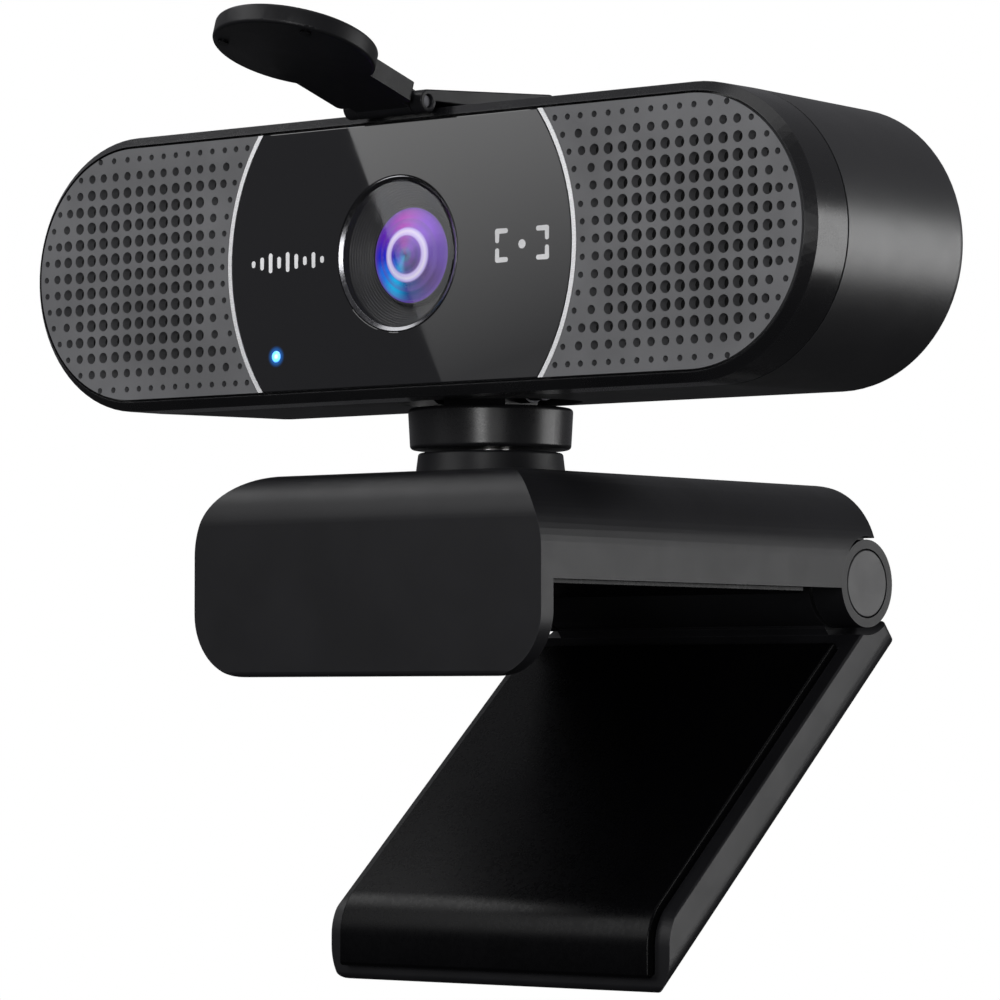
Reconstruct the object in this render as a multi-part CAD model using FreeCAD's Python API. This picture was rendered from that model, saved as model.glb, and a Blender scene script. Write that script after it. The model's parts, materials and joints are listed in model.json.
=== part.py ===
import FreeCAD, Part
import math
import os

# A clip-on desktop camera: a wide pill-shaped head with a flip-up lens cover, a neck that
# tilts and swivels, and a clip whose folding leg grips the back of a screen.
# Millimetres, +Z up, +X to the right of somebody who faces the lens, -Y towards them.
# Origin: on the swivel axis, in the plane of the pad that rests on top of the screen.

# ---------------------------------------------------------------- sizes of the clip arm
arm_width = 44.6
arm_front = 19.7            # lip's front face, ahead of the swivel axis
arm_top = 11.4              # top skin above the rest plane
arm_wall = 1.6
arm_shoulder_radius = 8.0   # long top edges
arm_roll_radius = 5.0       # front edge, where the top rolls down into the lip
arm_skirt = 0.5             # lower edge of the side walls above the rest plane
arm_tail = 1.3              # top skin behind the hinge axis
lip_drop = 8.75
lip_thick = 1.85
lip_corner_radius = 6.3
lip_pad_thick = 0.5
rest_pad_thick = 0.9
base_plate_thick = 1.2

# ---------------------------------------------------------------- sizes of the clip hinge
hinge_back = 34.65          # hinge axis behind the swivel axis
hinge_up = 1.05             # hinge axis above the rest plane
knuckle_radius = 4.55
hinge_pin_radius = 1.5
ear_thick = 3.7
ear_inset = 0.4             # ear's flat end inside the arm's side face
ear_groove = 0.35
hinge_cap_radius = 3.5
hinge_cap_thick = 0.8
hinge_washer_thick = 0.4

# ---------------------------------------------------------------- sizes of the leg
leg_angle = 41.0            # below the rest plane, as it is stored
leg_inset = 0.4             # leg's side inside the arm's side
leg_length = 47.8           # hinge axis to the corner where the nose turns
leg_drop = 3.4              # inner face below the hinge axis
leg_thick = 5.75
leg_wall = 1.6
leg_edge_radius = 3.0
leg_nose_radius = 5.0
leg_tip_radius = 0.7
leg_corner_radius = 2.8
leg_rim = 1.9               # bare rim each side of the leg's pad
leg_pad_proud = 1.0
leg_pad_sunk = 0.6
leg_pad_start = 6.4
leg_plate_thick = 0.6
scallop_gap = 0.8
insert_along = 28.0         # tripod insert, from the hinge axis along the leg
insert_bore_radius = 2.6
insert_radius = 4.0
insert_flange_radius = 4.8
insert_flange_thick = 0.8

# ---------------------------------------------------------------- sizes of the neck
collar_height = 2.4
collar_top_radius = 7.3
collar_foot_radius = 7.6
swivel_gap = 0.35
cup_height = 4.15
cup_top_radius = 8.35
cup_foot_radius = 8.12
cup_edge_radius = 0.4
stud_radius = 2.2
spigot_radius = 4.0
head_gap = 0.45             # between the cup and the head's underside
tilt_rise = 2.6             # tilt axis above the cup
tongue_width = 8.0
tilt_pin_radius = 1.0

# ---------------------------------------------------------------- sizes of the head
head_width = 100.4
head_height = 28.4
head_depth = 26.3
head_ahead = 14.6           # face ahead of the swivel axis
bezel_depth = 5.7
bezel_chamfer = 0.95
seam = 0.2
draft = 0.35                # how much the housing's half height shrinks towards the back
rear_edge_radius = 1.4
shell_wall = 1.6
plate_gap = 0.25            # round the grille plates and the glass
plate_thick = 1.0
mesh_thick = 0.2
web_front = 1.3
web_thick = 1.6
pocket_depth = 2.0
pocket_radius = 9.3
pocket_roof = 1.4

# ---------------------------------------------------------------- sizes of the front panel
panel_radius = 22.0
trim_width = 0.5
mask_thick = 0.1
lens_window_radius = 7.73
light_inset_x = 6.07        # status light from the panel's side
light_inset_z = 3.55        # and from the panel's lower edge
light_radius = 0.55
hole_pitch = 1.7
hole_margin = 0.8           # row-end hole's centre inside the plate's edge
hole_radii = [0.31, 0.45, 0.56, 0.62]   # from the border inwards

# ---------------------------------------------------------------- sizes of the camera inside
surround_radius = 8.6
nose_radius = 4.9
nose_gap = 0.25
front_lens_radius = 4.5
front_lens_curve = 14.0
barrel_radius = 5.6
coil_radius = 6.3
focus_block = 16.0
board_front = 10.2
board_thick = 1.0
board_inset_x = 16.2        # board's end from the head's end
board_inset_z = 2.0         # board's edge from the housing's inner face
port_inset = 12.2           # microphone port from the head's end
cable_radius = 1.9

# ---------------------------------------------------------------- sizes of the lens cover
cover_radius = 8.0
cover_thick = 1.95
cover_back = 0.85           # cover's inner face behind its hinge axis when shut
cover_ahead = 1.2           # hinge axis ahead of the face
cover_lift = 0.4            # hinge axis above the head's top
cover_open = 107.0          # from shut, as it is stored
cover_knuckle_radius = 1.15
cover_pin_radius = 0.6
cover_hinge_width = 10.2
cover_ear = 1.6
cover_tab_width = 9.5
cover_foot_length = 19.8
nub_radius = 0.55
nub_proud = 0.2
nub_across = 5.3            # nub from the middle of the cover
nub_below = 4.4

# ---------------------------------------------------------------- fits
run = 0.05                  # radial clearance of a pin or stud that turns or slides
snug = 0.1                  # round a piece that is dropped into a recess
loose = 0.3                 # between pieces that pass each other
screw_fit = 0.02

# ---------------------------------------------------------------- worked-out places
V = FreeCAD.Vector
ACROSS, BACK, UP = V(1, 0, 0), V(0, 1, 0), V(0, 0, 1)
arm_half = arm_width / 2
leg_half = arm_half - leg_inset
leg_pad_half = leg_half - leg_rim
ear_end = arm_half - ear_inset
ear_start = ear_end - ear_thick
barrel_half = ear_start - hinge_washer_thick - 2 * run
collar_top = arm_top + collar_height
cup_bottom = collar_top + swivel_gap
cup_top = cup_bottom + cup_height
tilt_height = cup_top + tilt_rise
pill_radius = head_height / 2
head_centre = cup_top + head_gap + pill_radius
tilt_local = tilt_height - head_centre          # tilt axis seen from the head's middle
face_radius = pill_radius - bezel_chamfer - plate_gap
face_half = head_width / 2 - bezel_chamfer - plate_gap
body_front = bezel_depth + seam
body_inner = pill_radius - shell_wall
web_back = web_front + web_thick
roof = pocket_depth - pill_radius               # ceiling of the underside pocket
roof_top = roof + pocket_roof
board_back = board_front + board_thick
board_half = head_width / 2 - board_inset_x
board_edge = body_inner - board_inset_z
board_notch = roof_top + 1.9                    # clears the tilt bracket and the tongue
mic_x = head_width / 2 - port_inset
light_x = light_inset_x - panel_radius
light_z = light_inset_z - face_radius
cover_up = pill_radius + cover_lift             # cover's hinge axis above the head's middle


# ================================================================ helpers
def box(x, y, z):
    return Part.makeBox(x[1] - x[0], y[1] - y[0], z[1] - z[0], V(x[0], y[0], z[0]))


def rod_x(radius, x, y, z):
    return Part.makeCylinder(radius, x[1] - x[0], V(x[0], y, z), ACROSS)


def rod_y(radius, x, y, z):
    return Part.makeCylinder(radius, y[1] - y[0], V(x, y[0], z), BACK)


def rod_z(radius, x, y, z):
    return Part.makeCylinder(radius, z[1] - z[0], V(x, y, z[0]), UP)


def tube_x(outer, inner, x, y, z):
    return rod_x(outer, x, y, z).cut(rod_x(inner, x, y, z))


def tube_y(outer, inner, x, y, z):
    return rod_y(outer, x, y, z).cut(rod_y(inner, x, y, z))


def tube_z(outer, inner, x, y, z):
    return rod_z(outer, x, y, z).cut(rod_z(inner, x, y, z))


def cone_y(front_radius, back_radius, y):
    return Part.makeCone(front_radius, back_radius, y[1] - y[0], V(0, y[0], 0), BACK)


def hexagon_z(across_flats, x, y, z):
    corner = across_flats / math.sqrt(3)
    points = [V(x + corner * math.cos(math.radians(60 * k)),
                y + corner * math.sin(math.radians(60 * k)), z[0]) for k in range(7)]
    return Part.Face(Part.makePolygon(points)).extrude(V(0, 0, z[1] - z[0]))


def join(first, *others):
    return first.fuse(list(others)).removeSplitter()


def rounded_wire(corners, to_space):
    """A closed outline of (a, b, radius) corners; each radius is a tangent arc."""
    ends = []
    for i, (a, b, radius) in enumerate(corners):
        here = V(a, b, 0)
        before = V(corners[i - 1][0], corners[i - 1][1], 0) - here
        after_a, after_b, _ = corners[(i + 1) % len(corners)]
        after = V(after_a, after_b, 0) - here
        before.normalize()
        after.normalize()
        half_angle = math.acos(max(-1.0, min(1.0, before.dot(after)))) / 2
        if radius == 0:
            ends.append((here, here, here))
            continue
        reach = radius / math.tan(half_angle)
        towards_centre = before + after
        towards_centre.normalize()
        middle = here + towards_centre * (radius / math.sin(half_angle) - radius)
        ends.append((here + before * reach, middle, here + after * reach))
    edges = []
    for i, (start, middle, end) in enumerate(ends):
        if (end - start).Length > 1e-6:
            arc = [to_space(p.x, p.y) for p in (start, middle, end)]
            edges.append(Part.Arc(*arc).toShape())
        following = ends[(i + 1) % len(ends)][0]
        if (following - end).Length > 1e-6:
            line = [to_space(p.x, p.y) for p in (end, following)]
            edges.append(Part.LineSegment(*line).toShape())
    return Part.Wire(edges)


def prism_x(corners, x):
    """Corners are (y, z, radius)."""
    wire = rounded_wire(corners, lambda y, z: V(x[0], y, z))
    return Part.Face(wire).extrude(V(x[1] - x[0], 0, 0))


def prism_y(corners, y):
    """Corners are (x, z, radius)."""
    wire = rounded_wire(corners, lambda x, z: V(x, y[0], z))
    return Part.Face(wire).extrude(V(0, y[1] - y[0], 0))


def prism_z(corners, z):
    """Corners are (x, y, radius)."""
    wire = rounded_wire(corners, lambda x, y: V(x, y, z[0]))
    return Part.Face(wire).extrude(V(0, 0, z[1] - z[0]))


def pill_wire(half_width, radius, y):
    middle = half_width - radius
    top_left, top_right = V(-middle, y, radius), V(middle, y, radius)
    low_left, low_right = V(-middle, y, -radius), V(middle, y, -radius)
    return Part.Wire([Part.LineSegment(top_left, top_right).toShape(),
                      Part.Arc(top_right, V(half_width, y, 0), low_right).toShape(),
                      Part.LineSegment(low_right, low_left).toShape(),
                      Part.Arc(low_left, V(-half_width, y, 0), top_left).toShape()])


def pill(half_width, radius, y):
    return Part.Face(pill_wire(half_width, radius, y[0])).extrude(V(0, y[1] - y[0], 0))


def tapered_pill(front, back, y):
    """A pill that narrows backwards; front and back are (half width, radius)."""
    wires = [pill_wire(*front, y[0]), pill_wire(*back, y[1])]
    return Part.makeLoft(wires, True, True)


def mirrored(shape):
    return shape.mirror(V(0, 0, 0), ACROSS)


def both_sides(shape):
    return Part.makeCompound([shape, mirrored(shape)])


def four_corners(make, x, z):
    return Part.makeCompound([make(sx * x, sz * z) for sx in (-1, 1) for sz in (-1, 1)])


def save(node, shape):
    if not shape.isValid():
        print("not valid:", node)
    shape.exportStep("parts/" + node + ".step")
    print(node, len(shape.Solids), "solid(s),", round(shape.Volume, 2), "mm3")


# ================================================================ places of the moving bodies
def on_head(shape):
    """From the head's own frame: face plane and middle of the pill at the origin."""
    placed = shape.copy()
    placed.translate(V(0, -head_ahead, head_centre))
    return placed


def on_leg(shape):
    """From the leg's own frame: hinge axis at the origin, leg folded flat, nose forward."""
    placed = shape.copy()
    placed.rotate(V(0, 0, 0), ACROSS, leg_angle)
    placed.translate(V(0, hinge_back, hinge_up))
    return placed


def on_cover(shape):
    """From the cover's own frame: hinge axis at the origin, cover shut and hanging down."""
    placed = shape.copy()
    placed.rotate(V(0, 0, 0), ACROSS, -cover_open)
    placed.translate(V(0, -cover_ahead, cover_up))
    return on_head(placed)


# ================================================================ clip arm
front_screw_x, rear_screw_x = arm_half - 6.3, arm_half - 8.3
base_screw_places = [(-front_screw_x, -11.5), (front_screw_x, -11.5),
                     (-rear_screw_x, hinge_back - 12.15), (rear_screw_x, hinge_back - 12.15)]
base_screw_radius = 0.85
base_head_radius = 1.9
base_head_thick = 0.7
boss_radius = 2.4
base_top = rest_pad_thick + base_plate_thick
base_rear = hinge_back - knuckle_radius - 0.6
lip_pad_half = arm_half - 5.4
lip_pad_low, lip_pad_high = 2.05 - lip_drop, -0.5


def arm_block(inset):
    """The arm's outer form, or with an inset the form of the room inside it."""
    half = arm_half - inset
    shoulder = arm_shoulder_radius - inset
    front_view = [(-half, -lip_drop, lip_corner_radius if inset == 0 else 0),
                  (half, -lip_drop, lip_corner_radius if inset == 0 else 0),
                  (half, arm_top - inset, shoulder), (-half, arm_top - inset, shoulder)]
    front = -arm_front + (lip_thick if inset else 0)
    rear = hinge_back + arm_tail - inset
    low = arm_skirt if inset == 0 else -1.0
    side_view = [(front, low, 0), (rear, low, 0), (rear, arm_top - inset, 0.8 if inset == 0 else 0),
                 (front, arm_top - inset, arm_roll_radius - inset)]
    if inset == 0:
        side_view = [(front, -lip_drop, 0.5), (front + lip_thick, -lip_drop, 0.5),
                     (front + lip_thick, low, 0)] + side_view[1:]
    block = prism_y(front_view, (front, rear))
    return block.common(prism_x(side_view, (-half, half)))


def arm_shell():
    shell = arm_block(0).cut(arm_block(arm_wall))
    groove = knuckle_radius + ear_groove
    room = knuckle_radius + 2 * loose
    ear = rod_x(knuckle_radius, (ear_start, ear_end), hinge_back, hinge_up)
    rib = box((ear_start, arm_half - arm_wall + snug), (hinge_back - 9.0, hinge_back + 1.0),
              (arm_skirt + 0.4, arm_top - arm_wall + snug)).common(arm_block(0))
    shell = shell.cut(both_sides(rod_x(groove, (ear_start, arm_half + 1), hinge_back, hinge_up)))
    shell = shell.fuse([rib, mirrored(rib), ear, mirrored(ear)])
    shell = shell.cut(rod_x(room, (-ear_start, ear_start), hinge_back, hinge_up))
    cap_seat = rod_x(hinge_cap_radius + snug, (ear_end - hinge_cap_thick, arm_half + 1),
                     hinge_back, hinge_up)
    pin_bore = rod_x(hinge_pin_radius + screw_fit, (-arm_half, arm_half), hinge_back, hinge_up)
    bosses = [rod_z(boss_radius, x, y, (base_top, arm_top - arm_wall + snug))
              for x, y in base_screw_places]
    pilots = [rod_z(base_screw_radius + screw_fit, x, y, (base_top - 1, base_top + 5))
              for x, y in base_screw_places]
    spigot_hole = rod_z(spigot_radius, 0, 0, (base_top, arm_top + 1))
    lip_back = -arm_front + lip_thick
    seat = lip_pad_half + snug
    pad_seat = box((-seat, seat), (lip_back - lip_pad_thick, lip_back + 1),
                   (lip_pad_low - snug, lip_pad_high + snug))
    shell = shell.fuse(bosses)
    return shell.cut([cap_seat, mirrored(cap_seat), pin_bore, spigot_hole, pad_seat] + pilots)


def arm_base_plate():
    half = arm_half - arm_wall - snug
    front = -arm_front + lip_thick + snug
    plate = box((-half, half), (front, base_rear), (rest_pad_thick, base_top))
    for side in (-1, 1):
        x = sorted([side * (ear_start - snug), side * (half + 1)])
        plate = plate.cut(box(x, (hinge_back - 9.0 - snug, base_rear + 1), (0, base_top + 1)))
    for x, y in base_screw_places:
        plate = plate.cut(rod_z(base_screw_radius + snug, x, y, (0, base_top + 1)))
        plate = plate.cut(rod_z(base_head_radius + snug, x, y, (0, rest_pad_thick + base_head_thick + run)))
    return plate


def base_screws():
    top = rest_pad_thick + base_head_thick
    screws = []
    for x, y in base_screw_places:
        head = rod_z(base_head_radius, x, y, (rest_pad_thick, top))
        screws.append(head.fuse(rod_z(base_screw_radius, x, y, (top, base_top + 4.5))))
    return Part.makeCompound(screws)


def rest_pad():
    half = arm_half - arm_wall - 2 * snug
    front = -arm_front + lip_thick + 2 * snug
    corners = [(-half, front, 0.8), (half, front, 0.8), (half, hinge_back - 9.2, 0),
               (ear_start - 0.4, hinge_back - 9.2, 0), (ear_start - 0.4, base_rear - 0.4, 0.5),
               (-ear_start + 0.4, base_rear - 0.4, 0.5), (-ear_start + 0.4, hinge_back - 9.2, 0),
               (-half, hinge_back - 9.2, 0)]
    return prism_z(corners, (0, rest_pad_thick))


def lip_pad():
    back = -arm_front + lip_thick
    corners = [(-lip_pad_half, lip_pad_low, 1.0), (lip_pad_half, lip_pad_low, 1.0),
               (lip_pad_half, lip_pad_high, 1.0), (-lip_pad_half, lip_pad_high, 1.0)]
    return prism_y(corners, (back - lip_pad_thick, back))


def swivel_collar():
    skirt = Part.makeCone(collar_foot_radius, collar_top_radius, collar_height, V(0, 0, arm_top))
    rim = [e for e in skirt.Edges if abs(e.CenterOfMass.z - collar_top) < 1e-6 and e.Closed]
    skirt = skirt.makeFillet(0.3, rim[:1])
    spigot = rod_z(spigot_radius, 0, 0, (arm_top - arm_wall, arm_top))
    return join(skirt, spigot).cut(rod_z(stud_radius + run, 0, 0, (0, collar_top + 1)))


def hinge_pin():
    reach = ear_end - hinge_cap_thick - snug
    return rod_x(hinge_pin_radius, (-reach, reach), hinge_back, hinge_up)


def hinge_caps():
    cap = rod_x(hinge_cap_radius, (ear_end - hinge_cap_thick, ear_end), hinge_back, hinge_up)
    outer = [e for e in cap.Edges if e.Closed and abs(e.CenterOfMass.x - ear_end) < 1e-6]
    return both_sides(cap.makeFillet(0.15, outer))


def hinge_washers():
    start = barrel_half + run
    return both_sides(tube_x(knuckle_radius - 0.7, hinge_pin_radius + snug,
                             (start, start + hinge_washer_thick), hinge_back, hinge_up))


# ================================================================ leg, drawn folded flat
nose_lean = math.radians(leg_angle)
plate_top = -leg_drop - leg_pad_sunk
plate_low = plate_top - leg_plate_thick
leg_floor = -leg_drop - leg_thick
leg_screw_x = leg_half - 6.0
leg_screw_places = [(x, y) for x in (-leg_screw_x, leg_screw_x) for y in (-12.5, 6.5 - leg_length)]
leg_room_half = leg_pad_half - 0.6


def nose_corner(height, ahead):
    """Where a line at this height meets the nose plane moved ahead by this much."""
    level = (-leg_drop - height) * math.tan(nose_lean)
    return -leg_length - level - ahead / math.cos(nose_lean)


def leg_side_view(offset, low, rear):
    """The leg's side outline, its inner face and nose moved outwards by the offset."""
    top = -leg_drop + offset
    inner_radius = leg_nose_radius + offset
    tip_radius = leg_tip_radius if offset == 0 else 0.4
    return [(rear, low, 0.6 if offset == 0 else 0), (nose_corner(low, offset), low, tip_radius),
            (nose_corner(top, offset), top, inner_radius), (rear, top, 0.4)]


def leg_shell():
    tip = nose_corner(leg_floor, 0)
    blank = prism_x(leg_side_view(0, leg_floor, 0.35), (-leg_half, leg_half))
    plan = prism_z([(-leg_half, 0.35, 1.0), (leg_half, 0.35, 1.0),
                    (leg_half, tip, leg_corner_radius), (-leg_half, tip, leg_corner_radius)],
                   (leg_floor - 1, 0))
    section = prism_y([(-leg_half, leg_floor, leg_edge_radius), (leg_half, leg_floor, leg_edge_radius),
                       (leg_half, -leg_drop, 0.3), (-leg_half, -leg_drop, 0.3)], (tip - 1, 2))
    blank = blank.common(plan).common(section)
    scallop = rod_x(knuckle_radius + scallop_gap, (barrel_half, leg_half + 1), 0, 0)
    knuckle = rod_x(knuckle_radius, (-barrel_half, barrel_half), 0, 0)
    throat = box((-barrel_half, barrel_half), (-4.2, 0), (-leg_drop - 1.5, -2.4))
    shell = join(blank.cut(both_sides(scallop)), knuckle, throat)
    room = box((-leg_room_half, leg_room_half), (4.0 - leg_length, -7.6),
               (leg_floor + leg_wall, plate_top + snug))
    shell = shell.cut(room).cut(leg_pad_form(snug, leg_pad_start - snug))
    posts = [rod_z(2.0, x, y, (leg_floor + 0.5, plate_low)) for x, y in leg_screw_places]
    boss = rod_z(insert_radius + leg_wall, 0, -insert_along, (leg_floor, plate_low))
    ribs = [box((x - 0.5, x + 0.5), (-leg_length + 3.9, -7.5), (leg_floor + 0.5, plate_low - 0.8))
            for x in (-8.5, 8.5)]
    shell = shell.fuse(posts + ribs + [boss])
    flange = rod_z(insert_flange_radius, 0, -insert_along, (leg_floor - 1, leg_floor + insert_flange_thick))
    cuts = [rod_z(insert_radius, 0, -insert_along, (leg_floor - 1, plate_low + 1)), flange,
            rod_x(hinge_pin_radius + run, (-leg_half, leg_half), 0, 0)]
    cuts += [rod_z(0.8, x, y, (leg_floor + 2.0, plate_low + 1)) for x, y in leg_screw_places]
    return shell.cut(cuts)


def leg_pad_form(side_gap, start):
    """The pad runs down the inner face and round the nose."""
    half = leg_pad_half + side_gap
    end = leg_floor + 2.0 - side_gap
    full = prism_x(leg_side_view(leg_pad_proud, end, -start), (-half, half))
    core = prism_x(leg_side_view(-leg_pad_sunk, end - 2.0, -start + 1), (-half - 1, half + 1))
    return full.cut(core)


def leg_pad():
    return leg_pad_form(0, leg_pad_start)


def leg_plate():
    half = leg_room_half - snug
    plate = box((-half, half), (-leg_length + 4.0 + snug, -7.6 - snug), (plate_low, plate_top))
    for x, y in leg_screw_places:
        plate = plate.cut(rod_z(1.0, x, y, (plate_low - 1, plate_top + 1)))
    return plate


def leg_screws():
    screws = [rod_z(0.78, x, y, (leg_floor + 2.2, plate_top)) for x, y in leg_screw_places]
    return Part.makeCompound(screws)


def tripod_insert():
    sleeve = rod_z(insert_radius - screw_fit, 0, -insert_along, (leg_floor, plate_low))
    flange = rod_z(insert_flange_radius - screw_fit, 0, -insert_along,
                   (leg_floor, leg_floor + insert_flange_thick))
    bore = rod_z(insert_bore_radius, 0, -insert_along, (leg_floor - 1, plate_low + 1))
    return join(sleeve, flange).cut(bore)


# ================================================================ neck
stud_top = cup_bottom + 3.0
under_skin = arm_top - arm_wall
washer_thick = 0.7
spring_thick = 0.8
nut_thick = 2.5
washer_low = under_skin - run - washer_thick
spring_low = washer_low - spring_thick
nut_low = spring_low - nut_thick


def neck_cup():
    cup = Part.makeCone(cup_foot_radius, cup_top_radius, cup_height, V(0, 0, cup_bottom))
    rims = [e for e in cup.Edges if e.Closed and e.Length > 1]
    cup = cup.makeFillet(cup_edge_radius, rims[:2])
    half = tongue_width / 2
    tongue = box((-half, half), (-tilt_rise, tilt_rise), (cup_top - 0.5, tilt_height))
    eye = rod_x(tilt_rise, (-half, half), 0, tilt_height)
    cup = join(cup, tongue, eye)
    return cup.cut([rod_z(stud_radius + screw_fit, 0, 0, (cup_bottom - 1, stud_top)),
                    rod_x(tilt_pin_radius + run, (-half - 1, half + 1), 0, tilt_height)])


def swivel_stud():
    return rod_z(stud_radius, 0, 0, (nut_low - 1.0, stud_top))


def swivel_washer():
    return tube_z(5.2, stud_radius + screw_fit, 0, 0, (washer_low, washer_low + washer_thick))


def swivel_spring():
    outer = Part.makeCone(4.6, 3.4, spring_thick, V(0, 0, spring_low))
    inner = Part.makeCone(3.6, stud_radius + screw_fit, spring_thick - 0.3, V(0, 0, spring_low))
    return outer.cut([inner, rod_z(stud_radius + screw_fit, 0, 0, (spring_low, washer_low + 1))])


def swivel_nut():
    nut = hexagon_z(7.0, 0, 0, (nut_low, spring_low))
    return nut.cut(rod_z(stud_radius + screw_fit, 0, 0, (nut_low - 1, spring_low + 1)))


# ================================================================ head shells, in the head's frame
housing_screw_x, housing_screw_z = head_width / 2 - 10.2, body_inner - 4.4
board_screw_x, board_screw_z = board_half - 5.0, 6.0
mic_board_half = housing_screw_z - 4.2
bracket_screws_at = [(x, y) for x in (-12.2, 12.2) for y in (-1.4, 4.8)]
neck_y = head_ahead
block_half = 15.0
body_back_radius = pill_radius - draft
body_back_half = head_width / 2 - draft


def pocket():
    return rod_z(pocket_radius, 0, neck_y, (-pill_radius - 1, roof))


def neck_slot(top):
    return box((-7.5, 7.5), (neck_y - 3.1, neck_y + 3.1), (roof - 1, top))


def front_bezel():
    half = head_width / 2
    inner_half, inner_radius = face_half + plate_gap, face_radius + plate_gap
    front = tapered_pill((inner_half, inner_radius), (half, pill_radius), (0, bezel_chamfer))
    band = pill(half, pill_radius, (bezel_chamfer, bezel_depth))
    bezel = front.fuse(band)
    bezel = bezel.cut(pill(inner_half, inner_radius, (-1, web_front)))
    bezel = bezel.cut(pill(inner_half, inner_radius, (web_back, bezel_depth + 1)))
    posts = [rod_y(2.4, x, (web_back - 0.5, 11.9), z)
             for x in (-housing_screw_x, housing_screw_x) for z in (-housing_screw_z, housing_screw_z)]
    posts += [rod_y(1.9, x, (web_back - 0.5, board_front), z)
              for x in (-board_screw_x, board_screw_x) for z in (-board_screw_z, board_screw_z)]
    guard = box((-block_half, block_half), (web_back - 0.5, bezel_depth), (-inner_radius - 0.3, roof_top))
    bezel = bezel.fuse(posts + [guard])
    holes = [rod_y(1.0, x, (5.0, 13), z)
             for x in (-housing_screw_x, housing_screw_x) for z in (-housing_screw_z, housing_screw_z)]
    holes += [rod_y(0.8, x, (5.0, board_front + 1), z)
              for x in (-board_screw_x, board_screw_x) for z in (-board_screw_z, board_screw_z)]
    holes += [rod_y(0.8, x, (0, web_back + 1), 0) for x in (-mic_x, mic_x)]
    holes += [rod_y(surround_radius + run, 0, (0, web_back + 1), 0),
              rod_y(light_radius + run, light_x, (0, web_back + 1), light_z), pocket()]
    return bezel.cut(holes)


def rear_housing():
    half = head_width / 2
    body = tapered_pill((half, pill_radius), (body_back_half, body_back_radius), (body_front, head_depth))
    rear_edges = [e for e in body.Edges
                  if e.BoundBox.YMin > head_depth - 1e-3 and e.BoundBox.YMax < head_depth + 1e-3]
    body = body.makeFillet(rear_edge_radius, rear_edges)
    fit_half, fit_radius = face_half + plate_gap - snug, face_radius + plate_gap - snug
    body = body.fuse(pill(fit_half, fit_radius, (bezel_depth - 1.5, body_front)))
    inner_half = half - shell_wall
    cavity = tapered_pill((inner_half, body_inner), (inner_half - draft, body_inner - draft),
                          (bezel_depth - 2, head_depth - shell_wall))
    body = body.cut(cavity)
    deep, floor = 13.6, 12.0
    tubes = [rod_y(2.9, x, (floor, head_depth - 1), z)
             for x in (-housing_screw_x, housing_screw_x) for z in (-housing_screw_z, housing_screw_z)]
    roof_block = box((-block_half, block_half), (body_front, neck_y + 10.6), (-body_inner - 0.6, roof_top))
    body = body.fuse(tubes + [roof_block])
    cuts = [pocket(), neck_slot(roof_top + 1), rod_y(3.2, 0, (20, head_depth + 1), 0),
            box((-block_half - 1, block_half + 1), (0, body_front), (-pill_radius, roof_top + 1))]
    for x in (-housing_screw_x, housing_screw_x):
        for z in (-housing_screw_z, housing_screw_z):
            cuts += [rod_y(1.95, x, (deep, head_depth + 1), z), rod_y(1.15, x, (floor - 1, deep + 1), z)]
    for x, y in bracket_screws_at:
        cuts.append(rod_z(0.7, x, neck_y + y, (roof_top - 2.6, roof_top + 1)))
    return body.cut(cuts)


def housing_screws():
    def screw(x, z):
        return rod_y(1.8, x, (13.6, 14.8), z).fuse(rod_y(1.0 - screw_fit, x, (5.4, 13.6), z))
    return four_corners(screw, housing_screw_x, housing_screw_z)


def cable_gland():
    outside = rod_y(4.0, 0, (head_depth, head_depth + 0.9), 0)
    rim = [e for e in outside.Edges if e.Closed and abs(e.CenterOfMass.y - head_depth - 0.9) < 1e-6]
    outside = outside.makeFillet(0.4, rim)
    neck = rod_y(3.2 - screw_fit, 0, (head_depth - shell_wall, head_depth), 0)
    inside = rod_y(4.0, 0, (head_depth - shell_wall - 1.2, head_depth - shell_wall), 0)
    return join(outside, neck, inside).cut(rod_y(cable_radius, 0, (20, head_depth + 2), 0))


# ================================================================ front panel
def panel_form(radius, y):
    return rod_y(radius, 0, y, 0).common(pill(face_half, face_radius, y))


def panel_glass():
    return panel_form(panel_radius - run, (0, plate_thick))


def panel_mask():
    mask = panel_form(panel_radius - 2 * run, (plate_thick, plate_thick + mask_thick))
    return mask.cut([rod_y(lens_window_radius, 0, (0, 3), 0),
                     rod_y(light_radius, light_x, (0, 3), light_z)])


def trim_right():
    outer = panel_form(panel_radius + trim_width, (0, web_front))
    arc = outer.cut(rod_y(panel_radius, 0, (-1, web_front + 1), 0))
    return arc.common(box((0, face_half), (-1, web_front + 1), (-pill_radius, pill_radius)))


def grille_outline(inset, y):
    """Right-hand plate: a hollow arc beside the panel and a round outer end."""
    arc_radius = panel_radius + trim_width + run + inset
    end_radius = face_radius - inset
    middle = face_half - face_radius
    corner = math.sqrt(arc_radius ** 2 - end_radius ** 2)
    points = [V(corner, y, -end_radius), V(arc_radius, y, 0), V(corner, y, end_radius),
              V(middle, y, end_radius), V(middle + end_radius, y, 0), V(middle, y, -end_radius)]
    return Part.Wire([Part.Arc(points[0], points[1], points[2]).toShape(),
                      Part.LineSegment(points[2], points[3]).toShape(),
                      Part.Arc(points[3], points[4], points[5]).toShape(),
                      Part.LineSegment(points[5], points[0]).toShape()])


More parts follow.
